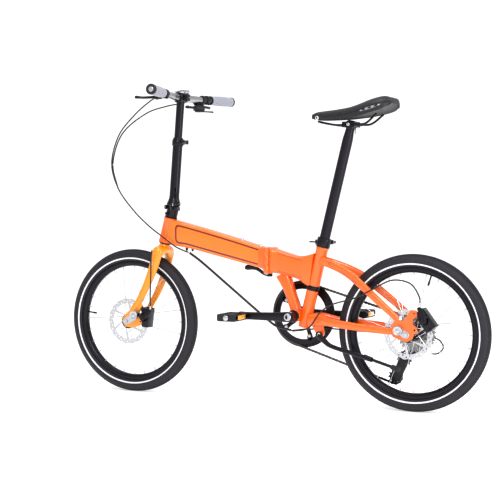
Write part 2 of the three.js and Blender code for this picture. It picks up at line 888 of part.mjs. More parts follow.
add(
  "telescope_clamp_lever",
  solid([
    rod(collarLeverPivot.clone().add(v(0, 0, -7)), collarLeverPivot.clone().add(v(0, 0, 7)), 6, 14),
    loft(
      [
        [collarLeverPivot.clone(), 4, 3, v(-1, 0, 0)],
        [collarLeverPivot.clone().add(v(-22, 2, -1)), 5.5, 2.6, v(-1, 0, 0)],
        [collarLeverPivot.clone().add(v(-44, 0, -2)), 6.5, 2.4, v(-1, 0, 0)],
      ],
      10,
    ),
  ]),
  BLACK,
  0.6,
  0.4,
);

const barAlong = BAR_CENTRE.distanceTo(POST_CENTRE);
const barClampBore = hubRod(BAR_CENTRE.x, BAR_CENTRE.z, -40, 40, 12.7 + GAP, 18);
add(
  "handlepost_upper",
  solid(
    [
      rod(postPoint(POST_UPPER_FOOT), postPoint(barAlong - 16), POST_INNER_R, 14),
      hubRod(BAR_CENTRE.x, BAR_CENTRE.z, -23, 23, 18.5, 14),
      box(BAR_CENTRE.x + 8, BAR_CENTRE.x + 31, -11, 11, BAR_CENTRE.z - 12, BAR_CENTRE.z + 12),
    ],
    [barClampBore, box(BAR_CENTRE.x + 5, BAR_CENTRE.x + 40, -30, 30, BAR_CENTRE.z - 1.2, BAR_CENTRE.z + 1.2)],
  ),
  BLACK,
  0.6,
  0.4,
);
const barLeverPivot = v(BAR_CENTRE.x + 23, 0, BAR_CENTRE.z + 19.4);
add(
  "bar_clamp_lever",
  solid(
    [
      rod(barLeverPivot.clone().add(v(0, -9, 0)), barLeverPivot.clone().add(v(0, 9, 0)), 7, 16),
      loft(
        [
          [barLeverPivot.clone().add(v(0, 0, 3)), 7, 3.2, v(-1, 0, 0.1)],
          [barLeverPivot.clone().add(v(-22, 0, 4)), 7, 2.8, v(-1, 0, 0)],
          [barLeverPivot.clone().add(v(-46, 0, 1)), 8, 2.6, v(-1, 0, -0.2)],
        ],
        12,
      ),
    ],
    [hubRod(BAR_CENTRE.x, BAR_CENTRE.z, -30, 30, 18.5 + GAP, 14)],
  ),
  BLACK,
  0.6,
  0.4,
);

// ---- handlebar, grips and controls -----------------------------------------------------------------------
const SWEEP = 49;
const RISE = 4;
// centre line of the bar at a distance y from the middle plane
function barPoint(y) {
  const run = Math.max(Math.abs(y) - 45, 0) / (BAR_HALF - 45);
  return v(BAR_CENTRE.x + SWEEP * run, y, BAR_CENTRE.z + RISE * run);
}
const barOut = (side) => barPoint(side * BAR_HALF).sub(barPoint(side * 60)).normalize();
const barSections = [-BAR_HALF, -105, -60, -45, -30, 30, 45, 60, 105, BAR_HALF];
add(
  "handlebar",
  solid([
    loft(
      barSections.map((y) => {
        const radius = Math.abs(y) > 100 ? 11.1 : 12.7;
        const direction = Math.abs(y) > 45 ? barOut(Math.sign(y)).multiplyScalar(Math.sign(y)) : v(0, 1, 0);
        return [barPoint(y), radius, radius, direction];
      }),
      20,
    ),
  ]),
  STEEL,
  0.8,
  0.3,
);
const leverPivot = {};
for (const [side, name] of [
  [-1, "left"],
  [1, "right"],
]) {
  const along = barOut(side);
  const end = barPoint(side * BAR_HALF);
  const grip = solid(
    [
      rod(barPoint(side * 170), barPoint(side * 250), 15.5, 20, 17.5),
      rod(barPoint(side * 250), end.clone().addScaledVector(along, 4), 17.5, 20, 17),
    ],
    [rod(barPoint(side * 160), end.clone().addScaledVector(along, GAP), 11.1 + GAP, 20)],
  );
  add(`grip_${name}`, grip, GREY, 0, 0.7);

  const mid = barPoint(side * 148);
  const pivot = v(mid.x - 36, side * 138, mid.z - 9);
  leverPivot[name] = pivot;
  add(
    `brake_bracket_${name}`,
    solid(
      [
        rod(barPoint(side * 141), barPoint(side * 155), 16, 14),
        loft(
          [
            [mid.clone().add(v(-8, side * -2, -4)), 7, 10, v(-1, 0, -0.3)],
            [mid.clone().add(v(-22, side * -6, -9)), 8, 9, v(-1, side * -0.2, -0.3)],
            [pivot.clone().add(v(-7, side * -6, 0)), 9, 8, v(-1, side * -0.4, -0.2)],
          ],
          12,
        ),
        rod(pivot.clone().add(v(2, side * -8, 2)), pivot.clone().add(v(-8, side * -34, 6)), 6, 14, 5),
      ],
      [
        rod(barPoint(side * 120), barPoint(side * 165), 11.1 + GAP, 14),
        box(pivot.x - 40, pivot.x + 8.6, ...[pivot.y - 9, pivot.y + 40].map((y) => (side > 0 ? y : 2 * pivot.y - y)).sort((a, b) => a - b), pivot.z - 5.3, pivot.z + 5.3),
      ],
    ),
    BLACK,
    0.4,
    0.5,
  );
  add(
    `brake_lever_${name}`,
    solid(
      [
        rod(pivot.clone().add(v(0, 0, -5)), pivot.clone().add(v(0, 0, 5)), 7, 16),
        loft(
          [
            [pivot.clone().add(v(-1, 0, 0)), 6, 5, v(-0.1, side, 0)],
            [pivot.clone().add(v(-12, side * 30, -3)), 5, 4.5, v(-0.1, side, -0.1)],
            [pivot.clone().add(v(-12, side * 70, -7)), 5.5, 4.5, v(0, side, -0.1)],
            [pivot.clone().add(v(-8, side * 106, -9)), 6, 4.5, v(0.1, side, -0.05)],
            [pivot.clone().add(v(-10, side * 118, -9)), 6.5, 5, v(-0.3, side, 0)],
          ],
          12,
        ),
      ],
    ),
    BLACK,
    0.5,
    0.4,
  );
}
const shifterMid = barPoint(126);
const shiftPivot = v(shifterMid.x - 14, 128, shifterMid.z - 30);
add(
  "gear_shifter",
  solid(
    [
      rod(barPoint(121), barPoint(131), 15.5, 14),
      rod(v(shiftPivot.x, 128, shiftPivot.z - 7), v(shiftPivot.x, 128, shiftPivot.z + 9), 20, 16),
      box(shiftPivot.x - 2, shiftPivot.x + 16, 121, 134, shiftPivot.z, shifterMid.z - 10),
      rod(v(shiftPivot.x - 8, 116, shiftPivot.z + 3), v(shiftPivot.x - 30, 92, shiftPivot.z + 5), 4.5, 12),
    ],
    [rod(barPoint(110), barPoint(140), 11.1 + GAP, 20)],
  ),
  BLACK,
  0.4,
  0.5,
);
add(
  "shift_lever",
  solid([
    rod(v(shiftPivot.x, 128, shiftPivot.z - 12), v(shiftPivot.x, 128, shiftPivot.z - 7.3), 15, 14),
    loft(
      [
        [v(shiftPivot.x + 8, 132, shiftPivot.z - 10), 7, 2.3, v(1, 0.5, 0)],
        [v(shiftPivot.x + 30, 144, shiftPivot.z - 11), 6, 2.4, v(1, 0.5, -0.1)],
        [v(shiftPivot.x + 44, 150, shiftPivot.z - 12), 7, 3, v(1, 0.4, 0)],
      ],
      10,
    ),
  ]),
  BLACK,
  0.4,
  0.5,
);

// ---- wheels --------------------------------------------------------------------------------------------------
function tyreProfile() {
  const radius = TYRE_W / 2;
  const centre = TYRE_R - radius;
  const inner = RIM_OUT_R + GAP;
  const open = Math.acos((centre - inner) / radius);
  const points = [];
  const count = 8;
  for (let i = 0; i <= count; i += 1) {
    const angle = Math.PI + open + (i / count) * (2 * Math.PI - 2 * open);
    points.push([centre + radius * Math.cos(angle), radius * Math.sin(angle)]);
  }
  return points;
}
const rimProfile = [
  [RIM_IN_R, -5],
  [RIM_IN_R + 8, -RIM_W / 2],
  [RIM_OUT_R, -RIM_W / 2],
  [RIM_OUT_R, RIM_W / 2],
  [RIM_IN_R + 8, RIM_W / 2],
  [RIM_IN_R, 5],
];
// crossed spokes from both flanges out to a thin nipple band
function spokes(centre, leftY, rightY, flangeR) {
  const reach = RIM_IN_R - 3;
  const band = ringY(
    [
      [reach - 1, -4],
      [reach + 1.6, -4],
      [reach + 1.6, 4],
      [reach - 1, 4],
    ],
    centre,
    28,
  );
  const parts = [band];
  for (let i = 0; i < SPOKES; i += 1) {
    const flange = i % 2 === 0 ? leftY : rightY;
    const cross = i % 4 < 2 ? 1 : -1;
    const rimAngle = (i / SPOKES) * Math.PI * 2;
    const hubAngle = rimAngle + cross * 0.9;
    const start = v(
      centre.x + flangeR * Math.cos(hubAngle),
      flange + cross * 1.3,
      centre.z + flangeR * Math.sin(hubAngle),
    );
    const end = v(centre.x + reach * Math.cos(rimAngle), Math.sign(flange) * 2, centre.z + reach * Math.sin(rimAngle));
    parts.push(rod(start, end, 1, 3));
  }
  return solid(parts);
}
function rotorShape(radius) {
  const shape = new THREE.Shape();
  shape.absarc(0, 0, radius, 0, Math.PI * 2, false);
  return shape;
}
// brake disc: a ring, six slanted arms and a centre, 2 mm thick
function rotor(centre, y, boreR) {
  const slice = (shape) => {
    const geometry = new THREE.ExtrudeGeometry(shape, { depth: 2, bevelEnabled: false, curveSegments: 14 });
    geometry.rotateX(Math.PI / 2);
    geometry.translate(centre.x, y + 1, centre.z);
    return geometry;
  };
  const parts = [slice(rotorShape(ROTOR_R)), slice(rotorShape(28))];
  let body = toManifold(parts[0]).subtract(
    toManifold(hubRod(centre.x, centre.z, y - 5, y + 5, 64, 26)),
  );
  for (let i = 0; i < 6; i += 1) {
    const angle = (i / 6) * Math.PI * 2;
    const arm = new THREE.BoxGeometry(52, 2, 7);
    arm.translate(46, 0, 0);
    arm.rotateY(0.5);
    arm.translate(0, 0, 12);
    arm.rotateY(angle);
    arm.translate(centre.x, y, centre.z);
    const keep = toManifold(hubRod(centre.x, centre.z, y - 5, y + 5, 66, 26));
    body = body.add(toManifold(arm).intersect(keep));
  }
  body = body.add(toManifold(parts[1]));
  body = body.subtract(toManifold(hubRod(centre.x, centre.z, y - 5, y + 5, boreR + GAP, 16)));
  return fromManifold(body);
}
for (const [name, axle] of [
  ["front", FRONT_AXLE],
  ["rear", REAR_AXLE],
]) {
  add(`${name}_tyre`, ringY(tyreProfile(), axle, 36), RUBBER, 0, 0.8);
  add(`${name}_rim`, ringY(rimProfile, axle, 36), BLACK, 0.5, 0.4);
}
add("front_spokes", spokes(FRONT_AXLE, -26.5, 32.5, 21.4), STEEL, 0.9, 0.3);
add("rear_spokes", spokes(REAR_AXLE, -34.5, 21.5, 26.4), STEEL, 0.9, 0.3);

const frontHubProfile = [
  [5 + GAP, -47],
  [11, -47],
  [11, -42.4],
  [16, -42.4],
  [16, -35],
  [12, -33],
  [12, -28],
  [20, -27],
  [20, -26],
  [12, -20],
  [12, 26],
  [20, 32],
  [20, 33],
  [12, 36],
  [10, 47],
  [5 + GAP, 47],
];
const rearHubProfile = [
  [5.4, -64],
  [12, -64],
  [12, -54.4],
  [16, -54.4],
  [16, -45],
  [14, -40],
  [25, -35],
  [25, -34],
  [14, -28],
  [14, 12],
  [25, 21],
  [25, 22],
  [14, 24],
  [14, 66],
  [5.4, 66],
];
function hub(profile, axle, flanges) {
  const shell = ringY(profile, axle, 14);
  return solid([shell], flanges);
}
add("front_hub", hub(frontHubProfile, FRONT_AXLE, []), BLACK, 0.7, 0.35);
add("rear_hub", hub(rearHubProfile, REAR_AXLE, []), BLACK, 0.7, 0.35);
add("front_rotor", rotor(FRONT_AXLE, FRONT_ROTOR_Y - 0, 16), STEEL, 0.9, 0.3);
add("rear_rotor", rotor(REAR_AXLE, REAR_ROTOR_Y, 16), STEEL, 0.9, 0.3);

// ---- crankset, chain and gears --------------------------------------------------------------------------------
const pedalAxle = { left: v(BB.x - CRANK_LENGTH, 0, BB.z), right: v(BB.x + CRANK_LENGTH, 0, BB.z) };
function crankArm(side) {
  const outer = side * 90;
  const tip = side < 0 ? pedalAxle.left : pedalAxle.right;
  const heading = Math.sign(tip.x - BB.x);
  return [
    loft(
      [
        [v(BB.x - heading * 14, side * 76, BB.z), 8, 14, v(heading, side * 0.02, 0)],
        [v(BB.x + heading * 4, side * 77, BB.z), 9, 17, v(heading, side * 0.03, 0)],
        [v(BB.x + heading * 40, side * 80, BB.z), 7.5, 14.5, v(heading, side * 0.06, 0)],
        [v(BB.x + heading * 130, side * 86, BB.z), 6.5, 12.5, v(heading, side * 0.05, 0)],
        [v(BB.x + heading * 166, side * 88, BB.z), 7, 13.5, v(heading, side * 0.03, 0)],
        [v(BB.x + heading * 181, side * 88, BB.z), 5, 8, v(heading, 0, 0)],
      ],
      14,
      3,
    ),
    hubRod(BB.x, BB.z, Math.min(side * 36, side * 78), Math.max(side * 36, side * 78), side < 0 ? 15 : 17, 14),
    hubRod(tip.x, tip.z, Math.min(side * 84, outer + side * 4), Math.max(side * 84, outer + side * 4), 10, 14),
  ];
}
const spiderArms = [];
for (let i = 0; i < 5; i += 1) {
  const angle = (i / 5) * Math.PI * 2;
  const arm = new THREE.BoxGeometry(82, 7, 17);
  arm.translate(41, 0, 0);
  arm.rotateY(angle);
  arm.translate(BB.x, CHAIN_Y + 5.5, BB.z);
  spiderArms.push(arm);
}
const pedalBore = (tip) => hubRod(tip.x, tip.z, -120, 120, 6.4 + GAP, 14);
add(
  "crank_left",
  solid([...crankArm(-1), hubRod(BB.x, BB.z, -70, 0, 9, 16)], [pedalBore(pedalAxle.left)]),
  BLACK,
  0.6,
  0.35,
);
add(
  "crank_right",
  solid(
    [...crankArm(1), ...spiderArms, hubRod(BB.x, BB.z, CHAIN_Y + 2, CHAIN_Y + 9, 26, 16), hubRod(BB.x, BB.z, GAP, 60, 9, 16)],
    [pedalBore(pedalAxle.right)],
  ),
  BLACK,
  0.6,
  0.35,
);
const CHAIN_HALF = 4.1; // half height of a link plate
const CHAIN_HALF_W = 3.1;
const ringBody = pitchRadius(CHAINRING_TEETH) - CHAIN_HALF - 0.5;
// ring with a wider guard outside the chain and five tabs cut to the spider's arms
const spiderRoom = spiderArms.map((arm) => {
  const wide = arm.clone();
  wide.translate(0, -GAP, 0);
  return wide;
});
const ringTabs = spiderArms.map((arm, i) => {
  const tab = new THREE.BoxGeometry(18, 2.4, 15);
  tab.translate(72, 0, 0);
  tab.rotateY((i / 5) * Math.PI * 2);
  tab.translate(BB.x, CHAIN_Y, BB.z);
  return tab;
});
add(
  "chainring",
  solid(
    [
      ringY(
        [
          [78, CHAIN_Y - 1.2],
          [ringBody, CHAIN_Y - 1.2],
          [ringBody, CHAIN_Y + 3.6],
          [112, CHAIN_Y + 3.6],
          [112, CHAIN_Y + 5.4],
          [86, CHAIN_Y + 5.4],
          [86, CHAIN_Y + 1.2],
          [78, CHAIN_Y + 1.2],
        ],
        v(BB.x, 0, BB.z),
        36,
      ),
      ...ringTabs,
    ],
    [solid(spiderRoom)],
  ),
  BLACK,
  0.7,
  0.35,
);

// cassette: eight steps; the one in use stays inside the chain
const cogY = (i) => CHAIN_Y + (COG_IN_USE - i) * COG_SPACING;
const cogOutline = [[14.5, cogY(7) - 2.1]];
for (let i = 7; i >= 0; i -= 1) {
  const radius = pitchRadius(COGS[i]) + (i === COG_IN_USE ? -CHAIN_HALF - 0.5 : 1.5);
  const inner = cogY(i) - (i === COG_IN_USE ? 3.7 : 1.1);
  const outer = cogY(i) + (i === COG_IN_USE ? 3.5 : 3.3);
  cogOutline.push([radius, i === 7 ? cogY(i) - 2.1 : inner]);
  cogOutline.push([radius, i === COG_IN_USE + 1 ? cogY(i) + 1 : outer - (i > 0 ? 0 : 2)]);
}
cogOutline.push([14.5, cogY(0) + 1.3]);
add("cassette", ringY(cogOutline, REAR_AXLE, 20), STEEL, 0.9, 0.35);

const SIDE_X = 0; // pedals are level with the crank ends
for (const [side, name] of [
  [-1, "left"],
  [1, "right"],
]) {
  const tip = pedalAxle[name];
  const y0 = side * 98;
  const y1 = side * 188;
  const [low, high] = [Math.min(y0, y1), Math.max(y0, y1)];
  const body = solid(
    [
      box(tip.x - 34, tip.x + 34, low, high, tip.z - 12, tip.z + 12),
      hubRod(tip.x + SIDE_X, tip.z, Math.min(side * 80, side * 100), Math.max(side * 80, side * 100), 6.4, 14),
      hubRod(tip.x, tip.z, Math.min(side * 186, side * 194), Math.max(side * 186, side * 194), 9, 14),
    ],
    [
      box(tip.x - 26, tip.x - 11, low + 14, high - 14, tip.z - 20, tip.z + 20),
      box(tip.x + 11, tip.x + 26, low + 14, high - 14, tip.z - 20, tip.z + 20),
    ],
  );
  add(`pedal_${name}`, body, BLACK, 0.2, 0.6);
}

// belt-like loop of the chain round the chainring, the cog in use and both derailleur pulleys
function chainLoop(offset) {
  const wheels = [
    { c: new THREE.Vector2(BB.x, BB.z), r: pitchRadius(CHAINRING_TEETH), turn: 1 },
    { c: new THREE.Vector2(REAR_AXLE.x, REAR_AXLE.z), r: pitchRadius(COGS[COG_IN_USE]), turn: 1 },
    { c: new THREE.Vector2(GUIDE_PULLEY.x, GUIDE_PULLEY.z), r: pitchRadius(PULLEY_TEETH), turn: -1 },
    { c: new THREE.Vector2(TENSION_PULLEY.x, TENSION_PULLEY.z), r: pitchRadius(PULLEY_TEETH), turn: 1 },
  ];
  const points = [];
  const tangents = wheels.map((wheel, i) => {
    const next = wheels[(i + 1) % wheels.length];
    const gap = next.c.clone().sub(wheel.c);
    const base = Math.atan2(gap.y, gap.x);
    const ratio = (wheel.turn * wheel.r - next.turn * next.r) / gap.length();
    const lean = Math.acos(ratio);
    return base + lean; // direction of the normal, measured outward for a clockwise loop
  });
  wheels.forEach((wheel, i) => {
    const from = tangents[(i + wheels.length - 1) % wheels.length];
    const to = tangents[i];
    let sweep = to - from;
    if (wheel.turn > 0) {
      while (sweep > 0) sweep -= Math.PI * 2;
      while (sweep <= -Math.PI * 2) sweep += Math.PI * 2;
    } else {
      while (sweep < 0) sweep += Math.PI * 2;
      while (sweep >= Math.PI * 2) sweep -= Math.PI * 2;
    }
    const count = Math.max(3, Math.round((Math.abs(sweep) * wheel.r) / (wheel.r > 60 ? 12 : 6)));
    for (let k = 0; k <= count; k += 1) {
      const angle = from + (sweep * k) / count;
      const normal = new THREE.Vector2(Math.cos(angle), Math.sin(angle));
      const radius = wheel.turn * wheel.r + offset;
      points.push(wheel.c.clone().addScaledVector(normal, radius));
    }
  });
  return points;
}
const chainShape = new THREE.Shape(chainLoop(CHAIN_HALF));
chainShape.holes.push(new THREE.Path(chainLoop(-CHAIN_HALF).reverse()));
const chainGeometry = new THREE.ExtrudeGeometry(chainShape, { depth: 2 * CHAIN_HALF_W, bevelEnabled: false });
chainGeometry.rotateX(Math.PI / 2);
chainGeometry.translate(0, CHAIN_Y + CHAIN_HALF_W, 0);
add("chain", solid([chainGeometry]), STEEL, 0.9, 0.4);

// derailleur: a body under the dropout and a cage of two plates that carries both pulleys
const pulleyBody = pitchRadius(PULLEY_TEETH) - CHAIN_HALF - 0.5;
const cagePlate = (y0, y1) =>
  plate(
    [
      [462, 172],
      [480, 172],
      [484, 158],
      [452, 92],
      [444, 84],
      [430, 84],
      [422, 94],
      [424, 106],
      [454, 160],
    ],
    y0,
    y1,
  );
add(
  "derailleur",
  solid(
    [
      hubRod(526, 216, 67.5 + GAP, 88, 3.6, 12),
      hubRod(526, 216, 73.6, 92, 11, 14),
      loft(
        [
          [v(524, 84, 214), 7, 12, v(-1, 0, -0.7)],
          [v(500, 78, 192), 9, 13, v(-1, -0.2, -0.8)],
          [v(478, 70, 170), 8, 13, v(-1, -0.2, -0.8)],
        ],
        12,
      ),
      hubRod(470, 160, 53.6, 76, 13, 14),
      cagePlate(52.4, 54.6),
      cagePlate(37.6, 39.6),
      hubRod(GUIDE_PULLEY.x, GUIDE_PULLEY.z, 38, 54, 3, 12),
      hubRod(TENSION_PULLEY.x, TENSION_PULLEY.z, 38, 56, 3, 12),
    ],
    [plate(rightDropout, REAR_OLN / 2, REAR_OLN / 2 + 5.8, 0, [[526, 216, 3.6]])],
  ),
  BLACK,
  0.5,
  0.4,
);
for (const [name, centre] of [
  ["guide", GUIDE_PULLEY],
  ["tension", TENSION_PULLEY],
]) {
  add(
    `${name}_pulley`,
    ringY(
      [
        [3 + GAP, CHAIN_Y - 2],
        [pulleyBody, CHAIN_Y - 2],
        [pulleyBody, CHAIN_Y + 2],
        [3 + GAP, CHAIN_Y + 2],
      ],
      v(centre.x, 0, centre.z),
      24,
    ),
    BLACK,
    0,
    0.6,
  );
}

// ---- kickstand ------------------------------------------------------------------------------------------------
const KICK_AXIS = v(-0.309, 0.942, -0.13).normalize();
const kickPivot = v(202, -30, 233);
add(
  "kickstand",
  solid([
    rod(kickPivot.clone().addScaledVector(KICK_AXIS, -9), kickPivot.clone().addScaledVector(KICK_AXIS, 6), 11, 16),
    loft([
      [v(200, -34, 233), 8, 9, v(0.8, -0.3, -0.6)],
      [v(226, -40, 214), 7.5, 8.5, v(1, -0.3, -0.6)],
      [v(262, -49, 197), 6.5, 7, v(1, -0.3, -0.2)],
      [v(390, -75, 171), 6, 6.5, v(1, -0.2, -0.2)],
    ]),
    rod(v(372, -71, 174.5), v(402, -77, 167.5), 9, 12, 8),
    rod(v(398, -76.4, 168.6), v(478, -91, 149), 5, 10),
    rod(v(470, -89.6, 151), v(498, -94.8, 144), 8, 12, 9),
  ]),
  BLACK,
  0.5,
  0.45,
);

// ---- cables ------------------------------------------------------------------------------------------------------
const CABLE_R = 2.4;
// four housings gathered into one bundle from the bar round in front of the head tube to the frame
add(
  "cable_loop",
  solid([
    tube(
      [
        v(-356, -170, 1016).add(v(0, 62, 0)),
        v(-400, -80, 1006),
        v(-470, -62, 964),
        v(-540, -52, 896),
        v(-572, -48, 800),
        v(-548, -44, 712),
        v(-490, -42, 638),
        v(-430, -40, 584),
        v(-376, -38, 546),
        v(-330, -34, 514),
        v(-304, -20, 499),
        v(-290, -8, 492),
      ],
      CABLE_R,
      24,
    ),
    tube(
      [
        v(-362, 96, 1012),
        v(-412, 56, 1000),
        v(-470, 10, 972),
        v(-536, -36, 902),
        v(-568, -46.5, 800),
        v(-548, -46, 712),
      ],
      CABLE_R,
      16,
    ),
  ]),
  BLACK,
  0,
  0.6,
);
add(
  "cable_span",
  solid([
    tube(
      [v(-287, -6, 490.4), v(-240, -2, 458), v(-120, 0, 366), v(10, 0, 268), v(44, 0, 250), v(90, 0, 240)],
      CABLE_R * 1.7,
      14,
    ),
  ]),
  BLACK,
  0,
  0.6,
);
add(
  "cable_rear",
  solid([
    tube(
      [
        v(93, 0, 239.6),
        v(106, -20, 240),
        v(124, -30, 243),
        v(150, -35, 247),
        v(178, -41, 262),
        v(212, -48, 306),
        v(262, -68, 336),
        v(342, -74, 360),
        v(400, -78, 388),
        v(468, -84, 420),
        v(530, -90, 412),
        v(560, -92, 372),
        v(560.5, -91, 344),
      ],
      CABLE_R,
      22,
    ),
    tube(
      [
        v(93, 0, 239.6),
        v(106, 20, 240),
        v(124, 29, 242),
        v(160, 30, 244),
        v(210, 31, 248),
        v(300, 38, 244),
        v(400, 50, 239),
        v(440, 66, 236),
        v(482, 86, 230),
        v(526, 89, 231),
        v(566, 92, 222),
        v(582, 92, 198),
        v(566, 92, 178),
        v(542, 90, 174),
      ],
      CABLE_R,
      22,
    ),
  ]),
  BLACK,
  0,
  0.6,
);
add(
  "cable_fork",
  solid([
    tube(
      [
        v(-402, -65, 500),
        v(-400, -68, 470),
        v(-404, -70, 420),
        v(-402, -78, 350),
        v(-400, -81, 310),
        v(-400, -81, 298),
      ],
      CABLE_R,
      10,
    ),
  ]),
  BLACK,
  0,
  0.6,
);

export default bike;
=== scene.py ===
# Folding bicycle with 20 inch wheels, unfolded, in the row frame: it rolls towards -X, its left side is -Y.
# Lengths in this file are millimetres unless a name ends in _m; meshes are scaled to metres as they are made.
import math

import bmesh
import bpy
from mathutils import Matrix, Vector
from mathutils.geometry import tessellate_polygon


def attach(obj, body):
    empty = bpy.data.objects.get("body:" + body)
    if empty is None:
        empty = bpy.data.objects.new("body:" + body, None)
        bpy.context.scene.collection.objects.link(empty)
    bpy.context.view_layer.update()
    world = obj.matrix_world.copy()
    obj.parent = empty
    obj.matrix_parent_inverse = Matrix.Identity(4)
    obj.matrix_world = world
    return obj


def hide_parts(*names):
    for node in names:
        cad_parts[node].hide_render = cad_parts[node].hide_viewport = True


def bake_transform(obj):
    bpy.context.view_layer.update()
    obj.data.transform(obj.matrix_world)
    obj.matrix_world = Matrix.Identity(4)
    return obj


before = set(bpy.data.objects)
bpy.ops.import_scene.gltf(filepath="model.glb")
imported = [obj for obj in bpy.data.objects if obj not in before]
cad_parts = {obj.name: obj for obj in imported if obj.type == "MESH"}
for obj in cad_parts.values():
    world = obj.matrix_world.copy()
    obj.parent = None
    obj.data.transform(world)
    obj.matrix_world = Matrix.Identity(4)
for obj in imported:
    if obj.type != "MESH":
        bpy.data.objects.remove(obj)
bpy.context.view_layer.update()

# ---- studio -------------------------------------------------------------------------------------------
# A pale paper floor under a bright, even sky, with one large soft box at the front left and a long one
# overhead, as for a catalogue picture on white. The camera stands low at the rear left of the bicycle.
FLOOR_HALF_M = 60.0
CAMERA_AT_M = (1.702, -3.673, 0.660)
CAMERA_YAW = math.radians(25.63)
CAMERA_PITCH = math.radians(2.20)
CAMERA_ROLL = math.radians(-0.10)


def linear(colour):
    """Linear colour with alpha from an sRGB hex value."""
    channels = [int(colour[i : i + 2], 16) / 255 for i in (1, 3, 5)]
    return [c / 12.92 if c <= 0.04045 else ((c + 0.055) / 1.055) ** 2.4 for c in channels] + [1.0]


def add(tree, kind, inputs=None, **settings):
    """Adds a node; inputs maps a socket to a value or to the output that feeds it."""
    made = tree.nodes.new(kind)
    for name, value in settings.items():
        setattr(made, name, value)
    for socket, value in (inputs or {}).items():
        if isinstance(value, bpy.types.NodeSocket):
            tree.links.new(value, made.inputs[socket])
        else:
            made.inputs[socket].default_value = value
    return made


def shader_of(name, **values):
    """New material and its shader with plain values on the shader's own sockets."""
    material = bpy.data.materials.new(name)
    material.use_nodes = True
    shader = material.node_tree.nodes["Principled BSDF"]
    for socket, value in values.items():
        shader.inputs[socket.replace("_", " ")].default_value = value
    return material, material.node_tree, shader


# matt paper sweep: a faint cloudiness keeps it from looking like a blank
paper, tree, shader = shader_of("matt_paper", Roughness=0.9)
place = add(tree, "ShaderNodeTexCoord").outputs["Object"]
cloud = add(tree, "ShaderNodeTexNoise", {"Vector": place, "Scale": 1.5, "Detail": 2.0}).outputs["Fac"]
tone = add(
    tree,
    "ShaderNodeMix",
    {0: cloud, 6: linear("#FAFAFA"), 7: linear("#FFFFFF")},
    data_type="RGBA",
)
tree.links.new(tone.outputs[2], shader.inputs["Base Color"])
shader.inputs["Emission Color"].default_value = linear("#FFFFFF")
shader.inputs["Emission Strength"].default_value = 0.34

floor_mesh = bpy.data.meshes.new("floor")
corners = [(-1, -1), (1, -1), (1, 1), (-1, 1)]
floor_mesh.from_pydata([(x * FLOOR_HALF_M, y * FLOOR_HALF_M, 0.0) for x, y in corners], [], [(0, 1, 2, 3)])
floor_mesh.materials.append(paper)
floor = bpy.data.objects.new("floor", floor_mesh)
bpy.context.collection.objects.link(floor)

world = bpy.data.worlds.new("sky")
world.use_nodes = True
world.node_tree.nodes["Background"].inputs["Color"].default_value = linear("#FFFFFF")
# the sky lights at 0.66 and shows as clean white behind the bicycle
seen = add(world.node_tree, "ShaderNodeLightPath").outputs["Is Camera Ray"]
sky = add(world.node_tree, "ShaderNodeMapRange", {0: seen, 3: 0.66, 4: 1.0}).outputs[0]
world.node_tree.links.new(sky, world.node_tree.nodes["Background"].inputs["Strength"])
bpy.context.scene.world = world
bpy.context.scene.view_settings.view_transform = "Standard"
bpy.context.scene.view_settings.look = "Medium High Contrast"

for name, at, towards, size, power in (
    ("key_box", (1.2, -3.4, 2.6), (0, 0, 0.5), (1.8, 1.2), 52),
    ("top_strip", (0.0, -0.4, 3.2), (0, 0, 0.4), (2.6, 0.7), 26),
    ("side_strip", (3.2, -0.9, 1.0), (0, 0, 0.6), (0.5, 2.2), 30),
):
    lamp = bpy.data.lights.new(name, "AREA")
    lamp.shape = "RECTANGLE"
    lamp.size, lamp.size_y = size
    lamp.energy = power
    holder = bpy.data.objects.new(name, lamp)
    holder.location = at
    holder.rotation_euler = (Vector(at) - Vector(towards)).to_track_quat("Z", "Y").to_euler()
    bpy.context.collection.objects.link(holder)

backward = Vector(
    (
        math.sin(CAMERA_YAW) * math.cos(CAMERA_PITCH),
        -math.cos(CAMERA_YAW) * math.cos(CAMERA_PITCH),
        math.sin(CAMERA_PITCH),
    )
)
rightward = Vector((math.cos(CAMERA_YAW), math.sin(CAMERA_YAW), 0.0))
upward = backward.cross(rightward)
turn = Matrix((rightward, upward, backward)).transposed() @ Matrix.Rotation(CAMERA_ROLL, 3, "Z")
camera_data = bpy.data.cameras.new("camera")
camera_data.sensor_width = 36.0
camera_data.lens = 87.5
camera_data.clip_end = 200.0
camera = bpy.data.objects.new("camera", camera_data)
camera.matrix_world = Matrix.Translation(CAMERA_AT_M) @ turn.to_4x4()
bpy.context.collection.objects.link(camera)
bpy.context.scene.camera = camera

# ---- front frame half ---------------------------------------------------------------------------------
# The hydroformed main tube of 6061 aluminium with the head tube welded to its front end and a cast hinge
# plate at its rear. Both are wet painted gloss orange over a white primer, with a maroon line round the
# side panel. The tube is skinned through its own sections.
GAP = 0.3
HINGE_X = 17.0
HINGE_PIN_Y = -37.0
HINGE_Z = (428.0, 514.0)
HEAD_BOTTOM = Vector((-386.0, 0.0, 525.0))
HEAD_DIR = Vector((math.cos(math.radians(75)), 0.0, math.sin(math.radians(75))))
HEAD_LENGTH = 88.0
TUBE_TOP = [(-360, 607), (-341, 603), (-220, 573), (-103, 542), (-3, 513), (17, 509)]
TUBE_BOTTOM = [(-372, 523), (-330, 512), (-290, 509), (-227, 494), (-63, 456), (-11, 444), (17, 436)]


def between(points, at):
    """Height of a line through points at a place along X, by straight pieces."""
    for (x0, z0), (x1, z1) in zip(points, points[1:]):
        if at <= x1:
            return z0 + (z1 - z0) * (at - x0) / (x1 - x0)
    return points[-1][1]


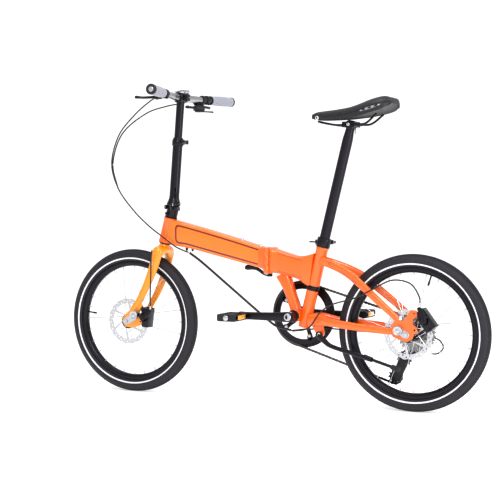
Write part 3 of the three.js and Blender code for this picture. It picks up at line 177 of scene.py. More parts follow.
def curve_through(values, steps):
    """Catmull-Rom in-between values of a list of vectors or numbers, with the ends kept."""
    out = []
    for i in range(len(values) - 1):
        a, b = values[i], values[i + 1]
        before = values[i - 1] if i > 0 else a * 2 - b
        after = values[i + 2] if i + 2 < len(values) else b * 2 - a
        for k in range(steps):
            t = k / steps
            tt, ttt = t * t, t * t * t
            out.append(
                before * (-ttt + 2 * tt - t) * 0.5
                + a * (3 * ttt - 5 * tt + 2) * 0.5
                + b * (-3 * ttt + 4 * tt + t) * 0.5
                + after * (ttt - tt) * 0.5
            )
    out.append(values[-1])
    return out


def skin(bm, rings, ends=True, loop=False):
    """Quads between rings of points; both ends are closed with a fan round the ring's middle."""
    rows = [[bm.verts.new(point) for point in ring] for ring in rings]
    count = len(rows[0])
    pairs = list(zip(rows, rows[1:])) + ([(rows[-1], rows[0])] if loop else [])
    for low, high in pairs:
        for i in range(count):
            j = (i + 1) % count
            bm.faces.new((low[i], low[j], high[j], high[i]))
    if ends and not loop:
        for row, order in ((rows[0], -1), (rows[-1], 1)):
            middle = bm.verts.new(sum((vert.co for vert in row), Vector()) / count)
            for i in range(count):
                edge = (row[i], row[(i + 1) % count])
                bm.faces.new((middle, *edge[::order]))
    return rows


def oval(centre, wide, high, along, sides=32, square=2.0):
    """Ring of a rounded section square to a direction; wide is sideways and high is in the upright plane."""
    along = Vector(along).normalized()
    flat = Vector((-along.y, along.x, 0.0))
    across = flat.normalized() if flat.length > 1e-3 else Vector((0.0, 1.0, 0.0))
    upright = along.cross(across)
    ring = []
    for i in range(sides):
        angle = 2 * math.pi * (i + 0.5) / sides
        c, s = math.cos(angle), math.sin(angle)
        a = math.copysign(abs(c) ** (2 / square), c) * wide
        b = math.copysign(abs(s) ** (2 / square), s) * high
        ring.append(Vector(centre) + across * a + upright * b)
    return ring


def limb(bm, stations, steps=5, sides=32, square=2.0, round_ends=0.0):
    """Smooth skin through stations of (centre, wide, high, direction), as forged and drawn arms are."""
    centres = curve_through([Vector(s[0]) for s in stations], steps)
    widths = curve_through([float(s[1]) for s in stations], steps)
    heights = curve_through([float(s[2]) for s in stations], steps)
    ways = curve_through([Vector(s[3]).normalized() for s in stations], steps)
    rings = [oval(*ring, sides, square) for ring in zip(centres, widths, heights, ways)]
    if round_ends:
        for end, inner in ((0, 1), (-1, -2)):
            out = (centres[end] - centres[inner]).normalized()
            extra = []
            for share in (0.35, 0.7, 0.92):
                size = math.sqrt(1 - share * share)
                at = centres[end] + out * round_ends * share
                extra.append(oval(at, widths[end] * size, heights[end] * size, ways[end], sides, square))
            rings = extra[::-1] + rings if end == 0 else rings + extra
    return skin(bm, rings)


def rod(bm, start, end, radius, end_radius=None, sides=32, edge=0.6):
    """Turned bar with a small chamfer at both ends."""
    start, end = Vector(start), Vector(end)
    end_radius = radius if end_radius is None else end_radius
    along = (end - start).normalized()
    edge = min(edge, radius * 0.4, end_radius * 0.4, (end - start).length * 0.3)
    stations = [
        (start, radius - edge),
        (start + along * edge * 0.3, radius - edge * 0.3),
        (start + along * edge, radius),
        (end - along * edge, end_radius),
        (end - along * edge * 0.3, end_radius - edge * 0.3),
        (end, end_radius - edge),
    ]
    return skin(bm, [oval(at, size, size, along, sides) for at, size in stations])


def lathe(bm, profile, centre, segments=96, closed=True):
    """Revolves (radius, y) points about the Y axis through a centre."""
    rings = []
    for k in range(segments):
        angle = 2 * math.pi * k / segments
        way = Vector((math.cos(angle), 0.0, math.sin(angle)))
        rings.append([Vector(centre) + way * radius + Vector((0, y, 0)) for radius, y in profile])
    rows = [[bm.verts.new(point) for point in ring] for ring in rings]
    count = len(profile)
    for k in range(segments):
        low, high = rows[k], rows[(k + 1) % segments]
        for i in range(count if closed else count - 1):
            j = (i + 1) % count
            bm.faces.new((low[i], high[i], high[j], low[j]))
    return rows


def rounded(points, radius, steps=4):
    """Outline with its corners rounded; a sharp or short corner gets a smaller arc."""
    out = []
    count = len(points)
    for i in range(count):
        here = Vector(points[i])
        back = Vector(points[i - 1]) - here
        ahead = Vector(points[(i + 1) % count]) - here
        reach = min(radius, back.length * 0.45, ahead.length * 0.45)
        first = here + back.normalized() * reach
        last = here + ahead.normalized() * reach
        for k in range(steps + 1):
            t = k / steps
            out.append(first * (1 - t) ** 2 + here * 2 * t * (1 - t) + last * t * t)
    return [tuple(p) for p in out]


def circle(x, z, radius, count=20):
    """Outline of a round hole or disc in the XZ plane."""
    step = 2 * math.pi / count
    return [(x + radius * math.cos(i * step), z + radius * math.sin(i * step)) for i in range(count)]


def area_of(outline):
    """Signed area, positive when the outline runs anticlockwise."""
    pairs = zip(outline, outline[1:] + outline[:1])
    return sum(a[0] * b[1] - b[0] * a[1] for a, b in pairs) / 2


def plate(bm, outline, y0, y1, holes=(), edge=0.5):
    """Flat plate in the XZ plane with holes and chamfered edges, as if laser cut and tumbled."""
    loops = [outline if area_of(outline) > 0 else outline[::-1]]
    loops += [hole if area_of(hole) < 0 else hole[::-1] for hole in holes]

    def inset(loop, amount):
        moved = []
        count = len(loop)
        for i in range(count):
            a, b, c = (Vector(loop[(i + k) % count]) for k in (-1, 0, 1))
            way = ((b - a).normalized() + (c - b).normalized()).normalized()
            moved.append((b.x - way.y * amount, b.y + way.x * amount))
        return moved

    rows = []
    for loop in loops:
        inner = inset(loop, edge)
        layers = [(inner, y0), (loop, y0 + edge), (loop, y1 - edge), (inner, y1)]
        rows.append([[bm.verts.new((x, y, z)) for x, z in shape] for shape, y in layers])
    for layers in rows:
        count = len(layers[0])
        for low, high in zip(layers, layers[1:]):
            for i in range(count):
                j = (i + 1) % count
                bm.faces.new((low[i], low[j], high[j], high[i]))
    for side, far_side in ((0, False), (3, True)):
        flat = [vert for layers in rows for vert in layers[side]]
        shapes = [[Vector((vert.co.x, vert.co.z, 0)) for vert in layers[side]] for layers in rows]
        for triangle in tessellate_polygon(shapes):
            corners = [flat[i] for i in triangle]
            normal = (corners[1].co - corners[0].co).cross(corners[2].co - corners[0].co)
            if normal.length_squared < 1e-12:
                continue
            if (normal.y > 0) != far_side:
                corners.reverse()
            bm.faces.new(corners)


def hexagon(bm, at, way, radius, length, sides=6):
    """Bolt head or nut standing on a point."""
    way = Vector(way).normalized()
    at = Vector(at)
    stations = [(0.0, 1.0), (length * 0.8, 1.0), (length, 0.86)]
    skin(bm, [oval(at + way * up, radius * size, radius * size, way, sides) for up, size in stations])


def turned(bm, foot, way, stations, sides=32, loop=False):
    """Round body about an axis: each station is a distance from the foot and the radius there."""
    foot, way = Vector(foot), Vector(way)
    skin(bm, [oval(foot + way * at, r, r, way, sides) for at, r in stations], loop=loop)


def cap_screw(bm, at, way, radius, length):
    """Button head with a hexagon socket sunk in it."""
    way = Vector(way).normalized()
    at = Vector(at)
    shape = [(0.0, 1.0), (0.55, 1.0), (0.85, 0.88), (1.0, 0.66), (1.0, 0.42), (0.45, 0.40)]
    rings = [oval(at + way * length * up, radius * size, radius * size, way, 18) for up, size in shape]
    skin(bm, rings)


def piece(name, bm, body, material, replaces=(), smooth=40.0, bend=None):
    """Turns a mesh in millimetres into a finished piece in metres that rides on a body."""
    bmesh.ops.scale(bm, vec=(0.001, 0.001, 0.001), verts=bm.verts)
    mesh = bpy.data.meshes.new(name)
    bmesh.ops.recalc_face_normals(bm, faces=bm.faces)
    bm.to_mesh(mesh)
    bm.free()
    mesh.materials.append(material)
    mesh.shade_smooth()
    mesh.set_sharp_from_angle(angle=math.radians(smooth))
    thing = bpy.data.objects.new(name, mesh)
    bpy.context.collection.objects.link(thing)
    if bend:
        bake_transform(thing)
    else:
        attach(thing, body)
    if replaces:
        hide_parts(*replaces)
    return thing


# wet gloss orange over white: slight orange peel in the clear coat, a deeper tone that drifts at random
def gloss_paint(name, colour, deep, line=None):
    """Sprayed enamel with a clear coat; line is the colour of the stripe that follows the 'panel' map."""
    material, tree, shader = shader_of(name, Roughness=0.32, Coat_Weight=0.75, Coat_Roughness=0.08)
    coords = add(tree, "ShaderNodeTexCoord").outputs["Object"]
    drift = add(tree, "ShaderNodeTexNoise", {"Vector": coords, "Scale": 14.0, "Detail": 2.0})
    share = add(tree, "ShaderNodeMapRange", {0: drift.outputs["Fac"], 1: 0.3, 2: 0.75, 3: 0.0, 4: 0.35})
    body = add(
        tree,
        "ShaderNodeMix",
        {0: share.outputs[0], 6: linear(colour), 7: linear(deep)},
        data_type="RGBA",
    )
    # orange peel: waves about 1.5 mm apart, a few micrometres deep
    peel = add(tree, "ShaderNodeTexNoise", {"Vector": coords, "Scale": 650.0, "Detail": 1.0})
    bump = add(tree, "ShaderNodeBump", {"Height": peel.outputs["Fac"], "Strength": 0.05, "Distance": 0.0004})
    tree.links.new(bump.outputs[0], shader.inputs["Coat Normal"])
    colour_out = body.outputs[2]
    if line:
        # the map gives millimetres along and across the panel from its middle
        pane = add(tree, "ShaderNodeUVMap", uv_map="panel").outputs["UV"]
        parts = add(tree, "ShaderNodeSeparateXYZ", {0: pane})
        masks = []
        for x_half, y_half, corner, thick, shift in line["boxes"]:
            moved = add(tree, "ShaderNodeMath", {0: parts.outputs[0], 1: -shift}, operation="ADD").outputs[0]
            across = []
            for value, half in ((moved, x_half), (parts.outputs[1], y_half)):
                size = add(tree, "ShaderNodeMath", {0: value}, operation="ABSOLUTE").outputs[0]
                size = add(
                    tree, "ShaderNodeMath", {0: size, 1: half - corner}, operation="SUBTRACT"
                ).outputs[0]
                across.append(size)
            out = [
                add(tree, "ShaderNodeMath", {0: value, 1: 0.0}, operation="MAXIMUM").outputs[0]
                for value in across
            ]
            squares = [add(tree, "ShaderNodeMath", {0: v, 1: 2.0}, operation="POWER").outputs[0] for v in out]
            total = add(tree, "ShaderNodeMath", {0: squares[0], 1: squares[1]}, operation="ADD").outputs[0]
            far = add(tree, "ShaderNodeMath", {0: total, 1: 0.5}, operation="POWER").outputs[0]
            near = add(tree, "ShaderNodeMath", {0: across[0], 1: across[1]}, operation="MAXIMUM").outputs[0]
            near = add(tree, "ShaderNodeMath", {0: near, 1: 0.0}, operation="MINIMUM").outputs[0]
            reach = add(tree, "ShaderNodeMath", {0: far, 1: near}, operation="ADD").outputs[0]
            reach = add(tree, "ShaderNodeMath", {0: reach, 1: -corner}, operation="ADD").outputs[0]
            gap = add(tree, "ShaderNodeMath", {0: reach}, operation="ABSOLUTE").outputs[0]
            masks.append(add(tree, "ShaderNodeMath", {0: gap, 1: thick}, operation="LESS_THAN").outputs[0])
        mask = masks[0]
        for other in masks[1:]:
            mask = add(tree, "ShaderNodeMath", {0: mask, 1: other}, operation="MAXIMUM").outputs[0]
        for low, high in line.get("only", ()):
            above = add(tree, "ShaderNodeMath", {0: parts.outputs[0], 1: low}, operation="GREATER_THAN")
            under = add(tree, "ShaderNodeMath", {0: parts.outputs[0], 1: high}, operation="LESS_THAN")
            both = add(
                tree, "ShaderNodeMath", {0: above.outputs[0], 1: under.outputs[0]}, operation="MULTIPLY"
            )
            mask = add(tree, "ShaderNodeMath", {0: mask, 1: both.outputs[0]}, operation="MULTIPLY").outputs[0]
        striped = add(
            tree,
            "ShaderNodeMix",
            {0: mask, 6: colour_out, 7: linear(line["colour"])},
            data_type="RGBA",
        )
        colour_out = striped.outputs[2]
    tree.links.new(colour_out, shader.inputs["Base Color"])
    return material


orange_paint = gloss_paint("gloss_orange_enamel", "#FA6A0C", "#EE5A04")
# the main tube's side panel: a rounded outline, drawn bolder at its front end
panel_paint = gloss_paint(
    "gloss_orange_enamel_with_maroon_line",
    "#FF7A16",
    "#F56A08",
    {
        "colour": "#6E1A14",
        "boxes": [(186.0, 31.0, 13.0, 0.9, 14.0), (190.0, 29.0, 14.0, 3.2, 19.5)],
    },
)


def patterned(name, kind, sizes, tones, out, stretch=None, rough=None, bump=None, settings=None, **values):
    """A finish with one fine pattern, which sets its tone and, where given, its roughness and relief."""
    material, tree, shader = shader_of(name, **values)
    where = add(tree, "ShaderNodeTexCoord").outputs["Object"]
    if stretch:
        where = add(tree, "ShaderNodeMapping", {0: where, 3: stretch}).outputs[0]
    pattern = add(tree, kind, {"Vector": where, **sizes}, **(settings or {})).outputs[out]
    if rough:
        level = add(tree, "ShaderNodeMapRange", {0: pattern, 3: rough[0], 4: rough[1]})
        tree.links.new(level.outputs[0], shader.inputs["Roughness"])
    dark, light = (linear(tone) for tone in tones)
    tone = add(tree, "ShaderNodeMix", {0: pattern, 6: dark, 7: light}, data_type="RGBA")
    tree.links.new(tone.outputs[2], shader.inputs["Base Color"])
    if bump:
        relief = add(tree, "ShaderNodeBump", {"Height": pattern, "Strength": bump[0], "Distance": bump[1]})
        tree.links.new(relief.outputs[0], shader.inputs["Normal"])
    return material


# clear-anodised cast aluminium, faced on a mill: fine straight tool marks
machined = patterned(
    "milled_aluminium",
    "ShaderNodeTexNoise",
    {"Scale": 1.0, "Detail": 3.0},
    ("#C9CBCE", "#E4E5E7"),
    out="Fac",
    stretch=(400.0, 400.0, 2600.0),
    rough=(0.22, 0.42),
    bump=(0.12, 0.0002),
    Metallic=1.0,
)

# zinc-plated steel for bolts and nuts: bright with a little cloud
plated = patterned(
    "zinc_plated_steel",
    "ShaderNodeTexNoise",
    {"Scale": 300.0, "Detail": 2.0},
    ("#A8AAB0", "#D6D8DC"),
    out="Fac",
    rough=(0.2, 0.42),
    Metallic=1.0,
)

# black hard-anodised aluminium: satin, with the grain of the bar or the casting under it
anodised = patterned(
    "black_anodised_aluminium",
    "ShaderNodeTexNoise",
    {"Scale": 900.0, "Detail": 3.0},
    ("#19171D", "#27242C"),
    out="Fac",
    stretch=(1.0, 1.0, 0.12),
    rough=(0.26, 0.44),
    bump=(0.06, 0.0002),
    Metallic=0.75,
    Coat_Weight=0.25,
    Coat_Roughness=0.25,
)


def box_ring(x, low, high, half, radius, steps=7, sway=0.0, middle=0.0):
    """Section of a rounded box tube in the plane across X; sway leans the section forward at its foot."""
    radius = min(radius, half * 0.98, (high - low) * 0.49)
    ring = []
    for cy, cz, start in (
        (half - radius, high - radius, 0.0),
        (-half + radius, high - radius, 0.5),
        (-half + radius, low + radius, 1.0),
        (half - radius, low + radius, 1.5),
    ):
        for k in range(steps + 1):
            angle = math.pi * (start + 0.5 * k / steps)
            z = cz + radius * math.sin(angle)
            share = (high - z) / max(high - low, 1e-6)
            ring.append(Vector((x - sway * share, middle + cy + radius * math.cos(angle), z)))
    return ring


def panel_map(thing, half_height, x_middle):
    """Map in millimetres along and across the side of a tube, zero at the panel's middle."""
    mesh = thing.data
    layer = mesh.uv_layers.new(name="panel")
    for polygon in mesh.polygons:
        side = abs(polygon.normal.y) > 0.7
        for loop in polygon.loop_indices:
            point = mesh.vertices[mesh.loops[loop].vertex_index].co * 1000
            middle = (between(TUBE_TOP, point.x) + between(TUBE_BOTTOM, point.x)) / 2
            height = (between(TUBE_TOP, point.x) - between(TUBE_BOTTOM, point.x)) / 2
            across = (point.z - middle) / height * half_height
            layer.data[loop].uv = (point.x - x_middle, across) if side else (900.0, 900.0)


bm = bmesh.new()
stations = [-352, -344, -330, -305, -270, -220, -160, -103, -60, -30, -8, 2]
rings = []
for x in stations:
    half = 25 - 3.0 * max(0, (-325 - x) / 30) ** 2
    sway = 20.0 * max(0, (-300 - x) / 52)
    rings.append(box_ring(x, between(TUBE_BOTTOM, x - sway), between(TUBE_TOP, x), half, 11, 8, sway))
fine = []
for low, high in zip(rings, rings[1:]):
    for k in range(4):
        fine.append([a.lerp(b, k / 4) for a, b in zip(low, high)])
skin(bm, fine + [rings[-1]])
main_tube = piece(
    "main_tube", bm, "front_frame", panel_paint, replaces=["front_frame"], smooth=50
)
panel_map(main_tube, 43.0, -160.0)

bm = bmesh.new()
wall = []
for at, radius in (
    (0.4, 17), (0.4, 22.0), (1.2, 23.6), (9, 23.6), (11, 22.6), (78, 22.6), (80, 23.6), (87, 23.6),
):
    wall.append(oval(HEAD_BOTTOM + HEAD_DIR * at, radius, radius, HEAD_DIR, 40))
for at, radius in ((88, 22.4), (88, 17)):
    wall.append(oval(HEAD_BOTTOM + HEAD_DIR * at, radius, radius, HEAD_DIR, 40))
skin(bm, wall, loop=True)
piece("head_tube", bm, "front_frame", orange_paint)

# cast hinge half: a plate as wide as the tube's flange with the middle knuckle on the left and the latch ear
KNUCKLE_Z = (HINGE_Z[0] + 28, HINGE_Z[1] - 28)


def hinge_plate(bm, x0, x1, grow=0.0):
    """Rounded plate across the tube, between two places along X."""
    depth = abs(x1 - x0)
    rings = []
    for share, inset in ((0.0, 1.2), (0.1, 0.3), (0.2, 0.0), (0.8, 0.0), (0.92, 0.2), (1.0, 0.8)):
        x = x0 + (x1 - x0) * share
        rings.append(
            box_ring(x, HINGE_Z[0] + inset - grow, HINGE_Z[1] - inset + grow, 31 - inset + grow, 10, 6)
        )
    if depth:
        skin(bm, rings)


def knuckle(bm, x0, x1, z0, z1):
    """Barrel on the hinge pin with a web that joins it to its plate."""
    rod(bm, (HINGE_X, HINGE_PIN_Y, z0), (HINGE_X, HINGE_PIN_Y, z1), 8, edge=0.8)
    middle = (x0 + x1) / 2
    half = abs(x1 - x0) / 2
    rings = []
    for y in (-26.0, HINGE_PIN_Y - 2):
        rings.append(
            [
                Vector((middle + a * half, y, b))
                for a, b in (
                    (-1, z0 + 0.8), (-1, z1 - 0.8), (-0.6, z1), (0.6, z1), (1, z1 - 0.8), (1, z0 + 0.8),
                    (0.6, z0), (-0.6, z0),
                )
            ]
        )
    skin(bm, rings)


bm = bmesh.new()
hinge_plate(bm, HINGE_X - GAP - 1.4, HINGE_X - 14)
knuckle(bm, HINGE_X - 8.5, HINGE_X - GAP, KNUCKLE_Z[0] + GAP, KNUCKLE_Z[1] - GAP)
# swelling where the tube flares out to the plate
flare = [
    box_ring(x, between(TUBE_BOTTOM, x) - g * 0.9, between(TUBE_TOP, x) + g * 0.8, 25 + g, 11, 6)
    for x, g in ((-22, -0.3), (-12, 0.6), (-4, 1.8), (2, 3.4), (5, 4.6))
]
skin(bm, flare)
skin(
    bm,
    [
        box_ring(x, 437 + i, 459 - i, 5 - i, 3, 4, middle=27.0)
        for x, i in ((-13, 1.5), (-11.5, 0), (14, 0), (16, 1))
    ],
)
piece("front_hinge_half", bm, "front_frame", orange_paint)

bm = bmesh.new()
hinge_plate(bm, HINGE_X - GAP, HINGE_X - GAP - 1.4, -0.8)
piece("front_hinge_face", bm, "front_frame", machined)

bm = bmesh.new()
top_normal = Vector((0.2785, 0.0, 0.9604))
for x in (-88.0, -20.5):
    at = Vector((x, 0.0, between(TUBE_TOP, x)))
    rod(bm, at - top_normal * 1.0, at + top_normal * 1.6, 6.5, 6.0)
    cap_screw(bm, at + top_normal * 1.6, top_normal, 4.6, 3.0)
piece("bottle_cage_screws", bm, "front_frame", plated)

# cable stops under the tube: two small clamped hooks that hold the housings
bm = bmesh.new()
for x, y in ((-296, -9), (-283, 9)):
    low = between(TUBE_BOTTOM, x)
    skin(
        bm,
        [oval((x, y, low - d), w, w * 0.7, (0, 0, 1), 20) for d, w in ((-1, 7), (4, 6), (9, 5), (12, 3.4))],
    )
piece("cable_stops", bm, "front_frame", anodised)

# latch of the frame hinge: a black anodised barrel in the ear, with a long forged lever under the tube
bm = bmesh.new()
rod(bm, (-4, 35, 414), (-4, 35, 468), 10, edge=1.2)
limb(
    bm,
    [
        ((-6, 37, 420), 4, 7, (-1, 0.1, 0.2)),
        ((-28, 41, 424), 4, 6, (-1, 0.1, 0.4)),
        ((-50, 42, 437), 3.6, 6, (-1, 0, 0.5)),
        ((-68, 42, 443), 5, 8, (-1, 0, 0.1)),
        ((-88, 41, 443), 5, 9, (-1, 0, 0)),
        ((-97, 41, 442), 3, 6, (-1, 0, 0)),
    ],
    square=2.6,
    round_ends=2.0,
)
cap_screw(bm, (-4, 35, 468), (0, 0, 1), 6.5, 3.5)
piece("frame_latch", bm, "frame_latch", anodised, replaces=["frame_latch_lever"])

# ---- rear frame half ----------------------------------------------------------------------------------
# A hydroformed box tube runs back from the hinge to the seat tube, a strut drops to the bottom bracket
# shell, and two bowed stays a side meet at laser-cut dropouts. All TIG welded and painted with the front.
BB = Vector((114.0, 0.0, 291.0))
SEAT_FOOT = Vector((137.0, 0.0, 253.0))
SEAT_DIR = Vector((math.cos(math.radians(76)), 0.0, math.sin(math.radians(76))))
SEAT_TUBE_LENGTH = 272.0
REAR_AXLE = Vector((512.0, 0.0, 250.0))
REAR_OLN = 135.0
BOX_TOP = [(17, 512), (40, 508), (70, 499), (99, 491), (120, 486.5), (150, 489), (178, 497), (200, 501)]
BOX_BOTTOM = [(17, 432), (40, 429), (83, 422), (124, 411), (148, 395), (165, 386), (200, 380)]

bm = bmesh.new()
tops = curve_through([Vector((x, 0, z)) for x, z in BOX_TOP], 6)
rings = []
for top in tops:
    if top.x > 182:
        break
    lean = max(0, (top.x - 40) / 140) * 16
    low = between(BOX_BOTTOM, top.x - lean * 0.8)
    rings.append(
        box_ring(max(top.x, 22), low, top.z, 24 - 4.0 * max(0, (top.x - 120) / 62) ** 2, 11, 8, lean)
    )
skin(bm, rings)
panel_line = {
    "colour": "#6E1A14",
    "boxes": [(118.0, 28.0, 12.0, 0.8, 0.0)],
    "only": [(-52.0, 54.0)],
}
rear_paint = gloss_paint("gloss_orange_enamel_rear_line", "#FA6A0C", "#EE5A04", panel_line)
rear_box = piece(
    "rear_box_tube_skin", bm, "rear_frame", rear_paint, replaces=["rear_box_tube"]
)
layer = rear_box.data.uv_layers.new(name="panel")
for polygon in rear_box.data.polygons:
    side = abs(polygon.normal.y) > 0.7
    for loop in polygon.loop_indices:
        point = rear_box.data.vertices[rear_box.data.loops[loop].vertex_index].co * 1000
        middle = (between(BOX_TOP, point.x) + between(BOX_BOTTOM, point.x)) / 2
        layer.data[loop].uv = (point.x - 85, point.z - middle) if side else (900.0, 900.0)

bm = bmesh.new()
hinge_plate(bm, HINGE_X + GAP + 1.4, HINGE_X + 14)
knuckle(bm, HINGE_X + GAP, HINGE_X + 8.5, HINGE_Z[0], KNUCKLE_Z[0] - GAP)
knuckle(bm, HINGE_X + GAP, HINGE_X + 8.5, KNUCKLE_Z[1] + GAP, HINGE_Z[1])
flare = [
    box_ring(x, between(BOX_BOTTOM, x) - g * 0.3, between(BOX_TOP, x) + g * 0.3, 24 + g, 11, 6)
    for x, g in ((29, 5.0), (32, 3.6), (38, 2.0), (46, 0.7), (54, -0.4))
]
skin(bm, flare)
piece("rear_hinge_half", bm, "rear_frame", orange_paint)

bm = bmesh.new()
hinge_plate(bm, HINGE_X + GAP, HINGE_X + GAP + 1.4, -0.8)
piece("rear_hinge_face", bm, "rear_frame", machined)

bm = bmesh.new()
rod(bm, (HINGE_X, HINGE_PIN_Y, HINGE_Z[0] - 2.4), (HINGE_X, HINGE_PIN_Y, HINGE_Z[1] + 2.4), 3.6, edge=0.4)
for z, way in ((HINGE_Z[0], -1), (HINGE_Z[1], 1)):
    cap_screw(bm, (HINGE_X, HINGE_PIN_Y, z), (0, 0, way), 6.2, 2.4)
piece("hinge_pin", bm, "rear_frame", plated)


def seat_at(along, side=0.0):
    return SEAT_FOOT + SEAT_DIR * along + Vector((0, side, 0))


# the seat tube is reamed for the post and has a rolled lip at its open foot
bm = bmesh.new()
wall = [
    oval(seat_at(at), radius, radius, SEAT_DIR, 44)
    for at, radius in (
        (0, 17.4),
        (0, 19.0),
        (0.8, 20.0),
        (SEAT_TUBE_LENGTH - 9, 20.0),
        (SEAT_TUBE_LENGTH - 7, 20.9),
        (SEAT_TUBE_LENGTH - 1, 20.9),
        (SEAT_TUBE_LENGTH, 20.2),
        (SEAT_TUBE_LENGTH, 17.4),
    )
]
skin(bm, wall, loop=True)
piece("seat_tube_shell", bm, "rear_frame", orange_paint, replaces=["seat_tube"])

# a black band with a light edge round the seat tube carries the cable guide
bm = bmesh.new()
band = [(126, 20.1), (126, 21.0), (127, 21.6), (141, 21.6), (142, 21.0), (142, 20.1)]
skin(bm, [oval(seat_at(at), radius, radius, SEAT_DIR, 44) for at, radius in band], loop=True)
rod(bm, seat_at(134, -24), seat_at(134, -20), 2.6)
piece("seat_tube_band", bm, "rear_frame", anodised)

bm = bmesh.new()
strut = [
    (36, 84, 431, 421, 13),
    (55, 95, 402, 396, 17),
    (72, 106, 366, 364, 19),
    (84, 117, 332, 334, 19),
    (93, 126, 306, 308, 19),
    (100, 128, 292, 296, 18),
]
rings = []
for x0, x1, z0, z1, half in strut:
    a, b = Vector((x0, 0, z0)), Vector((x1, 0, z1))
    way = Vector((0.42, 0, -0.9))
    middle, reach = (a + b) / 2, (b - a).length / 2
    rings.append((middle, half + 1, reach, way))
limb(bm, [(m, h, r, w) for m, h, r, w in rings], steps=5, sides=40, square=3.4)
shell = []
for y, radius in (
    (-34, 17), (-34, 20), (-33.2, 20.8), (-10, 20.8), (10, 20.8), (33.2, 20.8), (34, 20), (34, 17),
):
    shell.append(
        [
            Vector((BB.x + radius * math.cos(a), y, BB.z + radius * math.sin(a)))
            for a in [2 * math.pi * i / 44 for i in range(44)]
        ]
    )
skin(bm, shell, loop=True)
piece(
    "strut_and_shell", bm, "rear_frame", orange_paint, replaces=["strut_and_bottom_bracket"]
)

# bearing cups of the bottom bracket: black anodised rings with spanner notches, one pressed in each side
bm = bmesh.new()
for side in (-1, 1):
    ring = []
    for k in range(44):
        a = 2 * math.pi * k / 44
        notch = 0.9 if k % 4 < 2 else 0.0
        ring.append((a, notch))
    rows = []
    for y, radius in ((34.2, 11), (34.2, 20.4), (38, 20.4), (38.6, 19.6), (38.6, 11)):
        rows.append(
            [
                Vector(
                    (
                        BB.x + (radius - (n if radius > 15 else 0)) * math.cos(a),
                        side * y,
                        BB.z + (radius - (n if radius > 15 else 0)) * math.sin(a),
                    )
                )
                for a, n in ring
            ]
        )
    skin(bm, rows, loop=True)
piece("bottom_bracket_cups", bm, "rear_frame", anodised)

LEFT_DROPOUT = [
    (462, 276), (478, 302), (497, 292), (508, 300), (524, 328), (546, 328), (548, 309), (535, 302),
    (531, 285), (546, 275), (548, 257), (536, 254), (532, 238), (514, 228), (494, 234), (466, 243),
]
RIGHT_DROPOUT = [
    (462, 276), (478, 302), (496, 290), (510, 280), (528, 268), (533, 240), (538, 212), (528, 206),
    (516, 216), (504, 230), (466, 243),
]
for side, name in ((-1, "left"), (1, "right")):
    bow = 0 if side < 0 else -7
    bm = bmesh.new()
    limb(
        bm,
        [
            ((160, side * 19.0, 279), 7, 19, (1, side * 0.1, 0.02)),
            ((200, side * 25, 281), 9, 19, (1, side * 0.35, 0)),
            ((250, side * (44 + bow), 275), 9, 12.5, (1, side * 0.3, -0.1)),
            ((310, side * (56 + bow / 2), 270), 9, 12.5, (1, side * 0.16, -0.1)),
            ((400, side * 64, 262), 8, 11, (1, side * 0.04, -0.08)),
            ((480, side * 66.8, 257), 5, 9.5, (1, 0, -0.06)),
        ],
        square=2.3,
        round_ends=3.0,
    )
    if side < 0:
        plate(
            bm,
            rounded([(168, 268), (210, 268), (216, 236), (208, 221), (194, 221), (182, 244)], 8),
            -19.5,
            -12,
        )
    piece(
        f"chainstay_{name}_tube",
        bm,
        "rear_frame",
        orange_paint,
        replaces=[f"chainstay_{name}"],
    )

    bm = bmesh.new()
    limb(
        bm,
        [
            ((203, side * 16.5, 473), 6, 13, (1, side * 0.15, -0.3)),
            ((240, side * 20, 462), 7, 13.5, (1, side * 0.25, -0.35)),
            ((285, side * 33, 445), 8, 13, (1, side * 0.42, -0.42)),
            ((330, side * 47, 420), 8, 13, (1, side * 0.25, -0.66)),
            ((400, side * 57, 364), 8, 12, (1, side * 0.1, -0.86)),
            ((474, side * 64.5, 303.5), 6, 10, (1, side * 0.05, -0.8)),
            ((482, side * 67.5, 294), 4, 8, (1, side * 0.05, -0.8)),
        ],
        square=2.6,
        round_ends=3.0,
    )
    piece(
        f"seatstay_{name}_tube",
        bm,
        "rear_frame",
        orange_paint,
        replaces=[f"seatstay_{name}"],
    )

    bm = bmesh.new()
    y0 = -REAR_OLN / 2 - 5.5 if side < 0 else REAR_OLN / 2 + GAP
    y1 = -REAR_OLN / 2 - GAP if side < 0 else REAR_OLN / 2 + 5.5
    holes = [circle(512, 250, 5.2)]
    holes += [circle(537, 318, 3), circle(538, 266, 3)] if side < 0 else [circle(526, 216, 4)]
    plate(bm, rounded(LEFT_DROPOUT if side < 0 else RIGHT_DROPOUT, 5), y0, y1, holes, edge=0.8)
    piece(f"dropout_{name}", bm, "rear_frame", orange_paint)

